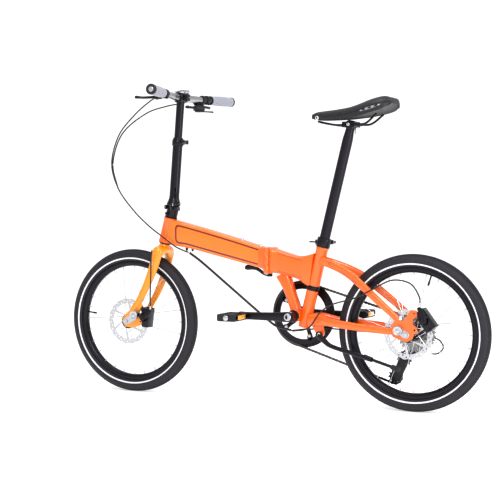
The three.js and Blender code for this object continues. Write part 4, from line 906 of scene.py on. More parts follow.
# dark outline on the left seat stay: a long narrow painted loop, laid as a film just proud of the tube
maroon, tree, shader = shader_of("maroon_decal_film", Roughness=0.35, Coat_Weight=0.6, Coat_Roughness=0.1)
coords = add(tree, "ShaderNodeTexCoord").outputs["Object"]
drift = add(tree, "ShaderNodeTexNoise", {"Vector": coords, "Scale": 60.0})
tone = add(
    tree,
    "ShaderNodeMix",
    {0: drift.outputs["Fac"], 6: linear("#5E1512"), 7: linear("#7A2018")},
    data_type="RGBA",
)
tree.links.new(tone.outputs[2], shader.inputs["Base Color"])
for side, name in ((-1, "left"), (1, "right")):
    bm = bmesh.new()
    path = [
        (232, 17.5, 466), (262, 24.5, 456), (285, 33, 446), (308, 40.5, 434), (330, 47, 421),
        (352, 50.5, 403),
    ]
    spine = curve_through([Vector(p) for p in path], 8)
    upper, lower = [], []
    for k, point in enumerate(spine):
        ahead = spine[min(k + 1, len(spine) - 1)] - spine[max(k - 1, 0)]
        upright = Vector((-ahead.z, 0, ahead.x)).normalized()
        ends = min(k, len(spine) - 1 - k)
        half = 5.2 * min(1.0, math.sqrt(ends / 3.0)) if ends else 0.0
        out = Vector((0, 8.35 - half * half * 0.018, 0))
        upper.append(point + upright * half + out)
        lower.append(point - upright * half + out)
    loop = upper + lower[::-1]
    loop = [Vector((p.x, p.y * side, p.z)) for p in loop]
    rows = []
    for k, point in enumerate(loop):
        ahead = (loop[(k + 1) % len(loop)] - loop[k - 1]).normalized()
        rows.append(oval(point, 0.5, 0.75, ahead, 6))
    skin(bm, rows, loop=True)
    piece(f"seatstay_line_{name}", bm, "rear_frame", maroon)

# ---- wheels -------------------------------------------------------------------------------------------
# Two 20 inch wheels: double-wall black rims, 28 stainless spokes with brass nipples, sealed alloy hubs,
# six-bolt steel brake rotors on the left, and 47 mm tyres with a knurled tread and a reflective ring.
TYRE_R = 250.0
TYRE_W = 47.0
RIM_OUT_R = 209.0
RIM_IN_R = 191.0
SPOKE_GROUPS = 7
ROTOR_R = 80.0

# vulcanised rubber: soot black, dusty in the valleys, rough, with the fine rib of the mould
rubber = patterned(
    "vulcanised_rubber",
    "ShaderNodeTexNoise",
    {"Scale": 45.0, "Detail": 4.0},
    ("#17151B", "#28252D"),
    out="Fac",
    Roughness=0.62,
)
grit = add(tree, "ShaderNodeTexNoise", {"Vector": coords, "Scale": 1400.0, "Detail": 2.0}).outputs["Fac"]
bump = add(tree, "ShaderNodeBump", {"Height": grit, "Strength": 0.25, "Distance": 0.0003})
tree.links.new(bump.outputs[0], shader.inputs["Normal"])

# glass-bead reflective tape moulded into the sidewall: white with a fine sparkle
reflective = patterned(
    "glass_bead_reflective_tape",
    "ShaderNodeTexVoronoi",
    {"Scale": 900.0},
    ("#FFFFFF", "#D4D6DA"),
    out="Distance",
    bump=(0.2, 0.0002),
    Roughness=0.45,
)

# drawn stainless wire for the spokes: bright, with die lines along it
stainless = patterned(
    "drawn_stainless_wire",
    "ShaderNodeTexNoise",
    {"Scale": 500.0, "Detail": 2.0},
    ("#C4C6CA", "#EDEEF0"),
    out="Fac",
    rough=(0.18, 0.34),
    Metallic=1.0,
)

# the rotors are ground flat on both faces: fine circular scratches round the axle
ground = {}
for name, middle_m in (("front", -0.512), ("rear", 0.512)):
    ground[name], tree, shader = shader_of(f"ground_rotor_steel_{name}", Metallic=1.0)
    coords = add(tree, "ShaderNodeTexCoord").outputs["Object"]
    centred = add(tree, "ShaderNodeMapping", {0: coords, 1: (-middle_m, 0.0, -0.25)}).outputs[0]
    parts = add(tree, "ShaderNodeSeparateXYZ", {0: centred})
    squares = [
        add(
            tree, "ShaderNodeMath", {0: parts.outputs[i], 1: 2.0}, operation="POWER"
        ).outputs[0] for i in (0, 2)
    ]
    total = add(tree, "ShaderNodeMath", {0: squares[0], 1: squares[1]}, operation="ADD").outputs[0]
    radius = add(tree, "ShaderNodeMath", {0: total, 1: 0.5}, operation="POWER").outputs[0]
    scaled = add(tree, "ShaderNodeMath", {0: radius, 1: 1200.0}, operation="MULTIPLY").outputs[0]
    rings_noise = add(
        tree, "ShaderNodeTexNoise", {"W": scaled, "Scale": 1.0, "Detail": 3.0}, noise_dimensions="1D"
    ).outputs["Fac"]
    level = add(tree, "ShaderNodeMapRange", {0: rings_noise, 3: 0.2, 4: 0.4})
    tree.links.new(level.outputs[0], shader.inputs["Roughness"])
    tone = add(
        tree, "ShaderNodeMix", {0: rings_noise, 6: linear("#A9ABB0"), 7: linear("#D9DADD")}, data_type="RGBA"
    )
    tree.links.new(tone.outputs[2], shader.inputs["Base Color"])
    bump = add(tree, "ShaderNodeBump", {"Height": rings_noise, "Strength": 0.15, "Distance": 0.0002})
    tree.links.new(bump.outputs[0], shader.inputs["Normal"])

# Repeats its own mesh round an axis through a centre: inputs are the count, centre, axis and material
round_tree = bpy.data.node_groups.new("repeat_round", "GeometryNodeTree")
sockets = {}
for label, kind in (
    ("Geometry", "NodeSocketGeometry"),
    ("Count", "NodeSocketInt"),
    ("Centre", "NodeSocketVector"),
    ("Axis", "NodeSocketVector"),
    ("Finish", "NodeSocketMaterial"),
):
    made = round_tree.interface.new_socket(label, in_out="INPUT", socket_type=kind)
    sockets[label] = made.identifier
round_tree.interface.new_socket("Geometry", in_out="OUTPUT", socket_type="NodeSocketGeometry")
source = add(round_tree, "NodeGroupInput").outputs
flipped = add(round_tree, "ShaderNodeVectorMath", {0: source["Centre"], "Scale": -1.0}, operation="SCALE")
moved = add(
    round_tree,
    "GeometryNodeTransform",
    {"Geometry": source["Geometry"], "Translation": flipped.outputs[0]},
)
spots = add(round_tree, "GeometryNodePoints", {"Count": source["Count"], "Position": source["Centre"]})
number = add(round_tree, "GeometryNodeInputIndex").outputs[0]
share = add(round_tree, "ShaderNodeMath", {0: number, 1: source["Count"]}, operation="DIVIDE").outputs[0]
angle = add(round_tree, "ShaderNodeMath", {0: share, 1: 2 * math.pi}, operation="MULTIPLY").outputs[0]
spin = add(round_tree, "FunctionNodeAxisAngleToRotation", {"Axis": source["Axis"], "Angle": angle})
copies = add(
    round_tree,
    "GeometryNodeInstanceOnPoints",
    {"Points": spots.outputs[0], "Instance": moved.outputs[0], "Rotation": spin.outputs[0]},
)
real = add(round_tree, "GeometryNodeRealizeInstances", {"Geometry": copies.outputs[0]})
finished = add(
    round_tree, "GeometryNodeSetMaterial", {"Geometry": real.outputs[0], "Material": source["Finish"]}
)
add(round_tree, "NodeGroupOutput", {"Geometry": finished.outputs[0]})


def repeated(name, bm, body, material, group, inputs, identifiers, replaces=(), smooth=40.0):
    """Runs a node tree on a seed mesh and keeps the result as one plain finished piece."""
    bmesh.ops.scale(bm, vec=(0.001, 0.001, 0.001), verts=bm.verts)
    bmesh.ops.recalc_face_normals(bm, faces=bm.faces)
    seed_mesh = bpy.data.meshes.new(name + "_seed")
    bm.to_mesh(seed_mesh)
    bm.free()
    seed = bpy.data.objects.new(name + "_seed", seed_mesh)
    bpy.context.collection.objects.link(seed)
    modifier = seed.modifiers.new("tree", "NODES")
    modifier.node_group = group
    for label, value in inputs.items():
        modifier[identifiers[label]] = value
    bpy.context.view_layer.update()
    evaluated = seed.evaluated_get(bpy.context.evaluated_depsgraph_get())
    mesh = bpy.data.meshes.new_from_object(evaluated)
    seed.modifiers.remove(modifier)
    bpy.data.objects.remove(seed)
    mesh.name = name
    mesh.materials.clear()
    mesh.materials.append(material)
    for polygon in mesh.polygons:
        polygon.material_index = 0
    mesh.shade_smooth()
    mesh.set_sharp_from_angle(angle=math.radians(smooth))
    thing = bpy.data.objects.new(name, mesh)
    bpy.context.collection.objects.link(thing)
    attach(thing, body)
    if replaces:
        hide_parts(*replaces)
    return thing


def around(name, bm, body, material, count, centre, axis=(0.0, 1.0, 0.0), replaces=(), smooth=40.0):
    inputs = {
        "Count": count,
        "Centre": [c / 1000 for c in centre],
        "Axis": list(axis),
        "Finish": material,
    }
    return repeated(name, bm, body, material, round_tree, inputs, sockets, replaces, smooth)


def rotor_plate(bm, centre, y, bore):
    """Wave-edged brake disc with six slanted arms and rows of drilled holes, 1.9 mm thick."""
    x, z = centre.x, centre.z
    outline = []
    for k in range(216):
        a = 2 * math.pi * k / 216
        r = ROTOR_R - 1.5 + 1.5 * math.cos(18 * a)
        outline.append((x + r * math.cos(a), z + r * math.sin(a)))
    holes = [circle(x, z, bore, 30)]
    # the windows between the arms, each a slanted sector
    for k in range(6):
        a0, a1 = 2 * math.pi * k / 6 + 0.13, 2 * math.pi * (k + 1) / 6 - 0.02
        sector = []
        for j in range(13):
            a = a0 + (a1 - a0) * j / 12
            sector.append((a + 0.42, 62.5))
        for j in range(9):
            a = a1 + (a0 - a1) * j / 8
            sector.append((a, 25.0))
        holes.append(rounded([(x + r * math.cos(a), z + r * math.sin(a)) for a, r in sector], 2, 2))
    for k in range(36):
        a = 2 * math.pi * (k + 0.5) / 36
        r = 67.4 if k % 2 else 72.2
        holes.append(circle(x + r * math.cos(a), z + r * math.sin(a), 2.5, 10))
    plate(bm, outline, y - 0.95, y + 0.95, holes, edge=0.2)


for name, axle, flanges, flange_r, rotor_y in (
    ("front", Vector((-512.0, 0.0, 250.0)), (-26.5, 32.5), 18.4, -40.0),
    ("rear", REAR_AXLE, (-34.5, 21.5), 23.4, -52.0),
):
    body = f"{name}_wheel"
    middle_r = TYRE_R - TYRE_W / 2
    half_w = TYRE_W / 2

    # casing: round section with a flatter crown, thin beads hooked under the rim's edge, a moulded rib
    bm = bmesh.new()
    profile = []
    for k in range(33):
        angle = math.pi + 0.72 + (2 * math.pi - 1.44) * k / 32
        reach = half_w - 0.15
        lift = 0.9 if math.cos(angle) > 0.55 else 0.0
        profile.append((middle_r + (reach - lift) * math.cos(angle), reach * math.sin(angle)))
    profile.append((RIM_OUT_R + 0.4, 9.0))
    profile.append((RIM_OUT_R + 0.4, -9.0))
    lathe(bm, profile, axle, 128)
    piece(f"{name}_tyre_casing", bm, body, rubber, replaces=[f"{name}_tyre"], smooth=60)

    # tread: staggered slanted blocks in a repeat of 10 mm
    bm = bmesh.new()
    for row, slant in ((-13.5, 0.6), (-8.2, -0.5), (-2.8, 0.35), (2.8, -0.35), (8.2, 0.5), (13.5, -0.6)):
        lean = math.asin(row / half_w)
        out = Vector((math.cos(lean), math.sin(lean), 0))
        sideways = Vector((-math.sin(lean), math.cos(lean), 0))
        shift = 2.4 if int(row * 10) % 3 else -1.2
        for half_x, half_y, at in ((3.9, 2.1, shift),):
            base = Vector((middle_r, 0, 0)) + out * (half_w - 1.1)
            rings = []
            for up, size in ((0.0, 1.06), (0.85, 1.0), (1.05, 0.9)):
                ring = []
                for a, b in ((-1, -1), (1, -1), (1, 1), (-1, 1)):
                    tangent = Vector((0, 0, 1)) * (a * half_x * size + b * slant * 2.2 + at)
                    ring.append(axle + base + out * up + sideways * b * half_y * size + tangent)
                rings.append(ring)
            skin(bm, rings)
    around(f"{name}_tread", bm, body, rubber, 150, axle, smooth=20)

    bm = bmesh.new()
    for side in (-1, 1):
        band = []
        for k in range(7):
            r = 216.4 + k * 0.85
            y = math.sqrt(half_w**2 - (r - middle_r) ** 2)
            band.append((r, side * (y + (0.28 if 0 < k < 6 else -0.3))))
        inner = [(r, y - side * 0.9) for r, y in band[::-1]]
        lathe(bm, band + inner, axle, 128)
    piece(f"{name}_reflective_ring", bm, body, reflective, smooth=50)

    # rim: box section with a dished inner face, machined brake tracks left black, a raised tyre hook
    bm = bmesh.new()
    profile = [
        (RIM_IN_R + 0.2, -4.5), (RIM_IN_R + 1.6, -8.5), (RIM_IN_R + 5, -11.2), (RIM_IN_R + 7, -13.1),
        (RIM_IN_R + 8.2, -13.5), (RIM_IN_R + 16.5, -13.5), (RIM_OUT_R, -13.0), (RIM_OUT_R, -11.6),
        (RIM_OUT_R - 3, -11.2), (RIM_OUT_R - 4, -8.0), (RIM_OUT_R - 4, 8.0), (RIM_OUT_R - 3, 11.2),
        (RIM_OUT_R, 11.6), (RIM_OUT_R, 13.0), (RIM_IN_R + 16.5, 13.5), (RIM_IN_R + 8.2, 13.5),
        (RIM_IN_R + 7, 13.1), (RIM_IN_R + 5, 11.2), (RIM_IN_R + 1.6, 8.5), (RIM_IN_R + 0.2, 4.5),
        (RIM_IN_R, 0.0),
    ]
    lathe(bm, profile, axle, 128)
    piece(f"{name}_rim_hoop", bm, body, anodised, replaces=[f"{name}_rim"], smooth=35)

    # a group of four crossed spokes with bent heads in the flanges, repeated seven times
    wire = bmesh.new()
    nuts = bmesh.new()
    for i in range(4):
        flange = flanges[i % 2]
        cross = 1 if i < 2 else -1
        rim_angle = 2 * math.pi * i / 28
        hub_angle = rim_angle + cross * 0.95
        hub_way = Vector((math.cos(hub_angle), 0, math.sin(hub_angle)))
        rim_way = Vector((math.cos(rim_angle), 0, math.sin(rim_angle)))
        start = axle + hub_way * flange_r + Vector((0, flange + cross * 1.7, 0))
        end = axle + rim_way * (RIM_IN_R + 1) + Vector((0, math.copysign(2.0, flange), 0))
        along = (end - start).normalized()
        skin(wire, [oval(start + (end - start) * t, 1.0, 1.0, along, 8) for t in (0, 0.5, 1)])
        elbow = start + Vector((0, -cross * 3.4, 0))
        skin(
            wire,
            [
                oval(p, r, r, (0, 1, 0), 8)
                for p, r in (
                    (start, 1.0), (elbow, 1.0), (elbow - Vector((0, cross * 0.6, 0)), 1.9),
                    (elbow - Vector((0, cross * 1.4, 0)), 1.5),
                )
            ],
        )
        foot = end - along * 11
        skin(
            nuts,
            [
                oval(p, r, r, along, 10)
                for p, r in ((foot, 1.3), (foot + along, 1.9), (foot + along * 8, 2.0), (end, 2.7))
            ],
        )
    around(
        f"{name}_spoke_wires",
        wire,
        body,
        stainless,
        SPOKE_GROUPS,
        axle,
        replaces=[f"{name}_spokes"],
    )
    around(f"{name}_nipples", nuts, body, plated, SPOKE_GROUPS, axle)

    # tube valve: a threaded brass stem with a black cap
    bm = bmesh.new()
    way = Vector((-1, 0, 0.12)).normalized() if name == "front" else Vector((0.3, 0, 0.95)).normalized()
    inner = axle + way * RIM_IN_R
    rod(bm, inner + way * 2, inner - way * 22, 2.6)
    rod(bm, inner - way * 20, inner - way * 33, 3.6, 3.0)
    piece(f"{name}_valve", bm, body, anodised)

    bm = bmesh.new()
    rotor_plate(bm, axle, rotor_y, 17.5)
    piece(f"{name}_rotor_disc", bm, body, ground[name], replaces=[f"{name}_rotor"], smooth=30)
    bm = bmesh.new()
    cap_screw(bm, axle + Vector((21.5, rotor_y - 0.9, 0)), (0, -1, 0), 4.0, 2.4)
    around(f"{name}_rotor_screws", bm, body, plated, 6, axle)

    bm = bmesh.new()
    left, right = flanges
    if name == "front":
        profile = [
            (5.3, -47), (10.6, -47), (11, -46.4), (11, -43), (25.5, -43), (26, -42.4), (26, -41.2),
            (25, -41), (16, -39), (12.5, -33), (12.2, -28.4),
        ]
        tail = [(12.4, 36), (12.4, 38), (10.6, 41), (10, 46.4), (9.4, 47), (5.3, 47)]
    else:
        profile = [
            (5.4, -64), (11.6, -64), (12, -63), (12, -55), (25.5, -55), (26, -54.4), (26, -53.2),
            (25, -53), (16.5, -49), (14.5, -42), (14.2, -36.6),
        ]
        tail = [(14.4, 24.6), (14.4, 65.4), (14, 66), (5.4, 66)]
    waist = profile[-1][0]
    profile += [
        (flange_r + 2.6, left - 1.4), (flange_r + 3.4, left - 0.6), (flange_r + 3.4, left + 0.9),
        (flange_r + 2.4, left + 1.6), (waist, left + 6),
    ]
    profile += [(waist - 0.6, (left + right) / 2 - 6), (waist - 0.6, (left + right) / 2 + 6)]
    profile += [
        (waist, right - 6), (flange_r + 2.4, right - 1.6), (flange_r + 3.4, right - 0.9),
        (flange_r + 3.4, right + 0.6), (flange_r + 2.6, right + 1.4),
    ]
    lathe(bm, profile + tail, axle, 64)
    piece(f"{name}_hub_shell", bm, body, anodised, replaces=[f"{name}_hub"], smooth=35)

# axle ends of the rear wheel: flanged nuts on both sides, a chain-tug plate and the magnet disc that
# holds the folded halves together, all zinc-plated steel with a ground face on the magnet
bm = bmesh.new()
rod(bm, (512, -80, 250), (512, 80, 250), 4.9)
for side in (-1, 1):
    rod(bm, (512, side * 73.4, 250), (512, side * 75.4, 250), 10.5, edge=0.4)
    hexagon(bm, (512, side * 75.2, 250), (0, side, 0), 8.6, 6.6)
plate(bm, rounded([(520, 242), (522, 254), (492, 276), (480, 258), (504, 240)], 4), -76.4, -73.3)
magnet = [
    (-76, 13.6), (-79, 15), (-87.6, 15), (-88.6, 14.2), (-88.8, 12.4), (-88.2, 11.6), (-88.2, 4.0),
    (-88.6, 3.4),
]
skin(bm, [oval((488, y, 264), r, r, (0, -1, 0), 40) for y, r in magnet])
piece("rear_axle_nuts", bm, "rear_frame", plated, replaces=["rear_axle"])

# ---- fork and front brake -----------------------------------------------------------------------------
# Aluminium fork in a lighter amber gloss: two oval blades that sweep forward from a forged crown, flat
# tips welded at the feet, two rubber-capped bosses on the crown, and the second magnet disc by the axle.
FRONT_FACE = 50.3
amber_paint = gloss_paint("gloss_amber_enamel", "#F59612", "#E88208")


def head_at(along):
    return HEAD_BOTTOM + HEAD_DIR * along


bm = bmesh.new()
limb(
    bm,
    [
        ((-398, -47, 474), 17, 17, (0, 1, 0.6)),
        ((-394, -36, 492), 20, 21, (0, 1, 0.5)),
        ((-391, 0, 500), 22, 14, (0, 1, 0)),
        ((-394, 36, 492), 20, 21, (0, 1, -0.5)),
        ((-398, 47, 474), 17, 17, (0, 1, -0.6)),
    ],
    sides=36,
)
skin(
    bm,
    [oval(head_at(at), r, r, HEAD_DIR, 40) for at, r in ((-24, 23), (-14, 20), (-6, 16.5), (-3.5, 15.6))],
)
for side in (-1, 1):
    limb(
        bm,
        [
            ((-393, side * 43, 490), 10, 18, (-0.25, side * 0.02, -1)),
            ((-404, side * 46, 450), 10, 17, (-0.25, side * 0.05, -1)),
            ((-420, side * 49, 405), 9, 15, (-0.38, side * 0.04, -1)),
            ((-446, side * 51.5, 350), 8, 13, (-0.5, side * 0.03, -1)),
            ((-474, side * 53, 304), 6.5, 11, (-0.6, 0, -1)),
            ((-497, side * 53.4, 268), 3, 9, (-0.6, 0, -1)),
        ],
        steps=6,
        sides=36,
        round_ends=2.0,
    )
    skin(
        bm,
        [
            oval((-407, side * y, 455), r, r, (0, side, 0), 24)
            for y, r in ((48, 8.2), (56.5, 7.6), (57.3, 6.6))
        ],
    )
LEFT_TIP = [
    (-522, 238), (-528, 258), (-516, 274), (-500, 288), (-478, 322), (-456, 322), (-446, 308),
    (-456, 294), (-462, 272), (-446, 262), (-444, 246), (-462, 236), (-486, 230), (-506, 230),
]
RIGHT_TIP = [(-522, 238), (-526, 258), (-512, 276), (-492, 286), (-480, 276), (-494, 250), (-500, 234)]
plate(
    bm,
    rounded(LEFT_TIP, 6),
    -FRONT_FACE - 6,
    -FRONT_FACE,
    [circle(-466, 312, 3), circle(-455, 252, 3)],
    edge=0.8,
)
plate(bm, rounded(RIGHT_TIP, 6), FRONT_FACE, FRONT_FACE + 6, edge=0.8)
piece("fork_blades", bm, "fork", amber_paint, replaces=["fork"])

# caps of the crown bosses, axle nuts and the magnet disc
bm = bmesh.new()
for side in (-1, 1):
    cap_screw(bm, (-407, side * 57, 455), (0, side, 0), 5.2, 2.6)
rod(bm, (-512, -64, 250), (-512, 64, 250), 4.6)
for side in (-1, 1):
    rod(bm, (-512, side * 56.6, 250), (-512, side * 58.4, 250), 10.5, edge=0.4)
    hexagon(bm, (-512, side * 58.2, 250), (0, side, 0), 8.6, 6.4)
plate(bm, rounded([(-520, 242), (-522, 256), (-472, 290), (-456, 266), (-504, 240)], 5), -60.3, -56.6)
magnet = [
    (-60, 13.6), (-64, 15), (-85.6, 15), (-86.6, 14.2), (-86.8, 12.4), (-86.2, 11.6), (-86.2, 4.0),
    (-86.6, 3.4),
]
skin(bm, [oval((-466, y, 276), r, r, (0, -1, 0), 40) for y, r in magnet])
piece("front_axle_nuts", bm, "fork", plated)

# headset: pressed cups above and below the head tube and a dust cap, black anodised
bm = bmesh.new()
for at0, at1, r in ((-3.6, -0.2, 21.5), (HEAD_LENGTH + 0.4, HEAD_LENGTH + 4.5, 22.0)):
    wall = [(at0, 15.6), (at0, r - 1), (at0 + 0.8, r), (at1 - 0.6, r), (at1, r - 0.8), (at1, 15.6)]
    skin(bm, [oval(head_at(at), size, size, HEAD_DIR, 40) for at, size in wall], loop=True)
piece("headset_cups", bm, "fork", anodised)


def finished_copy(name, node, body, material, edge=0.7, smooth=44.0, more=None):
    """Casting or forging taken from the frame's own solid, with its edges broken and its faces smoothed."""
    bm = bmesh.new()
    bm.from_mesh(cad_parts[node].data)
    bmesh.ops.scale(bm, vec=(1000, 1000, 1000), verts=bm.verts)
    bmesh.ops.remove_doubles(bm, verts=bm.verts, dist=0.02)
    bmesh.ops.dissolve_limit(bm, angle_limit=math.radians(4), verts=bm.verts, edges=bm.edges)
    sharp = [e for e in bm.edges if e.is_manifold and e.calc_face_angle(0) > math.radians(38)]
    bmesh.ops.bevel(
        bm,
        geom=sharp,
        offset=edge,
        offset_type="OFFSET",
        segments=2,
        profile=0.6,
        affect="EDGES",
        clamp_overlap=True,
    )
    if more:
        more(bm)
    return piece(name, bm, body, material, replaces=[node], smooth=smooth)


def front_caliper_more(bm):
    # adjuster dial with notches, two mounting screws and the cable clamp
    skin(
        bm,
        [
            oval((-431, y, 268), r, r, (0, -1, 0), 28)
            for y, r in ((-70, 15.5), (-75, 15.2), (-76, 13.6), (-76, 9), (-74.6, 8.6))
        ],
    )
    cap_screw(bm, (-424, -54, 300), (0.1, -1, 0), 5.0, 4.0)
    cap_screw(bm, (-440, -54, 238), (0.1, -1, 0), 5.0, 4.0)


def rear_caliper_more(bm):
    skin(
        bm,
        [
            oval((574, y, 298), r, r, (0, -1, 0), 28)
            for y, r in ((-80, 15.5), (-85, 15.2), (-86, 13.6), (-86, 9), (-84.6, 8.6))
        ],
    )
    cap_screw(bm, (556, -78, 322), (0, -1, 0), 5.0, 4.0)
    cap_screw(bm, (592, -78, 272), (0, -1, 0), 5.0, 4.0)


finished_copy(
    "front_caliper_body", "front_caliper", "fork", anodised, 1.2, more=front_caliper_more
)
finished_copy(
    "rear_caliper_body", "rear_caliper", "rear_frame", anodised, 1.2, more=rear_caliper_more
)


def front_arm_more(bm):
    cap_screw(bm, (-431, -84, 268), (0, -1, 0), 6.5, 2.6)
    hexagon(bm, (-402, -84, 289), (0, -1, 0), 4.4, 2.4)


def rear_arm_more(bm):
    cap_screw(bm, (574, -94, 298), (0, -1, 0), 6.5, 1.8)
    hexagon(bm, (559, -94, 334), (0, -1, 0), 4.4, 1.6)


finished_copy(
    "front_brake_arm_forging",
    "front_brake_arm",
    "front_brake_arm",
    anodised,
    0.5,
    more=front_arm_more,
)
finished_copy(
    "rear_brake_arm_forging",
    "rear_brake_arm",
    "rear_brake_arm",
    anodised,
    0.5,
    more=rear_arm_more,
)

# ---- handlepost ---------------------------------------------------------------------------------------
# A folding stem in black: a cast base clamps the steerer, the post is hinged to it on a pin across the
# corner, and a flip lever closes the joint. The 34 mm outer post holds a sliding 27 mm inner post, with a
# quick-release collar between them and a two-bolt bar clamp on top.
POST_CENTRE = Vector((-352.5, 0.0, 648.0))
POST_DIR = Vector((math.cos(math.radians(85.4)), 0.0, math.sin(math.radians(85.4))))
POST_AXIS = Vector((1.0, 1.0, 0.0)).normalized()
TO_PIN = Vector((-POST_AXIS.y, POST_AXIS.x, 0.0))
POST_TOP = 234.0
COLLAR_FROM = 212.0
BAR_CENTRE = Vector((-322.4, 0.0, 1022.0))


def post_at(along, side=0.0):
    return POST_CENTRE + POST_DIR * along + Vector((0, side, 0))


def post_base_more(bm):
    for at, way in (((-366, -27, 626), (0, -1, 0)), ((-366, 27, 626), (0, 1, 0))):
        cap_screw(bm, at, way, 5.0, 2.6)


finished_copy(
    "handlepost_base_casting", "handlepost_base", "fork", anodised, 0.9, more=post_base_more
)

pin_middle = POST_CENTRE + TO_PIN * 28
bm = bmesh.new()
for way in (-1, 1):
    cap_screw(bm, pin_middle + POST_AXIS * 24 * way, POST_AXIS * way, 6.4, 2.6)
piece("handlepost_pin_heads", bm, "fork", plated)

bm = bmesh.new()
wall = [
    (6, 23.5), (8, 24.4), (12, 24.0), (20, 20.5), (30, 17.6), (38, 16.9), (205, 16.8), (210, 16.8),
    (210.6, 19.2), (211.6, 19.8),
]
wall += [
    (230, 19.8), (231, 19.2), (231.2, 17.4), (POST_TOP + 3.2, 17.4), (POST_TOP + 4, 16.8),
    (POST_TOP + 4, 14.1), (150, 14.1), (40, 14.1), (24, 14.0),
]
rings = [oval(post_at(at), r, r, POST_DIR, 48) for at, r in wall]
skin(bm, rings)
collar = post_at(COLLAR_FROM + 11)
rod(bm, collar + Vector((21, -16, 0)), collar + Vector((21, 16, 0)), 6.4)
skin(bm, [box_ring(collar.x + x, collar.z - 9, collar.z + 9, 9, 2, 4) for x in (13, 22)])
base_mid = POST_CENTRE + TO_PIN * (28 - 25)
slab = [box_ring(y, 648.35, 661.0, 16, 4, 5) for y in (-25, -24.4, 24.4, 25)]
slab[0] = [p.lerp(Vector((-25, 0, 654.7)), 0.06) for p in slab[0]]
slab[3] = [p.lerp(Vector((25, 0, 654.7)), 0.06) for p in slab[3]]
to_pin_turn = Matrix((TO_PIN, POST_AXIS, Vector((0, 0, 1)))).transposed()
skin(
    bm,
    [
        [to_pin_turn @ Vector((p.x, p.y, 0)) + Vector((base_mid.x, base_mid.y, p.z)) for p in ring]
        for ring in slab
    ],
)
rod(bm, pin_middle - POST_AXIS * 8.7, pin_middle + POST_AXIS * 8.7, 8, edge=0.8)
piece("handlepost_outer", bm, "handlepost", anodised, replaces=["handlepost_lower"])

finished_copy("handlepost_latch", "handlepost_latch_lever", "post_latch", anodised, 0.8)
bm = bmesh.new()
latch_out = -TO_PIN
at = POST_CENTRE + latch_out * 33 + Vector((0, 0, 8))
for way in (-1, 1):
    cap_screw(bm, at + POST_AXIS * 12 * way, POST_AXIS * way, 5.2, 2.2)
piece("handlepost_latch_screws", bm, "post_latch", plated)

bm = bmesh.new()
pivot = collar + Vector((22, 24, 0))
rod(bm, pivot - Vector((0, 0, 7)), pivot + Vector((0, 0, 7)), 6)
limb(
    bm,
    [
        (pivot, 4, 3, (-1, 0, 0)),
        (pivot + Vector((-22, 2, -1)), 5.5, 2.6, (-1, 0, 0)),
        (pivot + Vector((-42, 0, -2)), 6.5, 2.4, (-1, 0, 0)),
    ],
    round_ends=3.0,
)
piece(
    "telescope_lever_forging",
    bm,
    "telescope_lever",
    anodised,
    replaces=["telescope_clamp_lever"],
)

bm = bmesh.new()
bar_along = (BAR_CENTRE - POST_CENTRE).length
skin(bm, [oval(post_at(at), 13.6, 13.6, POST_DIR, 44) for at in (158, 159, bar_along - 30, bar_along - 14)])
clamp = [
    (-23, 16.6), (-22, 18.2), (-21, 18.5), (-8.4, 18.5), (-8, 18.0), (8, 18.0), (8.4, 18.5), (21, 18.5),
    (22, 18.2), (23, 16.6), (23, 13.1), (-23, 13.1),
]
lathe(bm, [(r, y) for y, r in clamp], BAR_CENTRE, 44)
for low, high in ((1.3, 11.5), (-11.5, -1.3)):
    z0, z1 = BAR_CENTRE.z + low, BAR_CENTRE.z + high
    skin(
        bm,
        [
            box_ring(BAR_CENTRE.x + x, z0 + i, z1 - i, 11 - i, 2, 4)
            for x, i in ((15, 0), (29.6, 0), (30.6, 0.8))
        ],
    )
hexagon(bm, BAR_CENTRE + Vector((22, 0, -11)), (0, 0, -1), 5.2, 3.6)
piece("handlepost_inner", bm, "handlepost_upper", anodised, replaces=["handlepost_upper"])

bm = bmesh.new()
pivot = BAR_CENTRE + Vector((23, 0, 19.4))
rod(bm, pivot + Vector((0, -9, 0)), pivot + Vector((0, 9, 0)), 7)
limb(
    bm,
    [
        (pivot + Vector((-3, 0, 4)), 7, 2.8, (-1, 0, 0.1)),
        (pivot + Vector((-22, 0, 4.6)), 7, 2.6, (-1, 0, 0)),
        (pivot + Vector((-44, 0, 1.4)), 8, 2.4, (-1, 0, -0.2)),
    ],
    round_ends=2.6,
    square=2.6,
)
piece("bar_lever_forging", bm, "bar_lever", plated, replaces=["bar_clamp_lever"])

# ---- handlebar, grips and controls --------------------------------------------------------------------
# A 570 mm swept alloy bar, polished bright; soft light grey grips with a dark inner ring and end cap;
# two-finger brake levers in black plastic brackets; an eight-speed trigger shifter at the right.
SWEEP = 49.0
RISE = 4.0
BAR_HALF = 285.0


def bar_at(y):
    run = max(abs(y) - 45, 0) / (BAR_HALF - 45)
    return Vector((BAR_CENTRE.x + SWEEP * run, y, BAR_CENTRE.z + RISE * run))


# polished aluminium tube: bright, with faint lines along it
polished = patterned(
    "polished_aluminium_tube",
    "ShaderNodeTexNoise",
    {"Scale": 1.0, "Detail": 2.0},
    ("#9A989C", "#C9C8CB"),
    out="Fac",
    stretch=(1500.0, 30.0, 1500.0),
    rough=(0.16, 0.34),
    Metallic=1.0,
)

# injection-moulded nylon, black with an even fine spark-eroded grain
nylon = patterned(
    "moulded_black_nylon",
    "ShaderNodeTexVoronoi",
    {"Scale": 1300.0},
    ("#161519", "#222126"),
    out="Distance",
    bump=(0.2, 0.0003),
    Roughness=0.5,
)

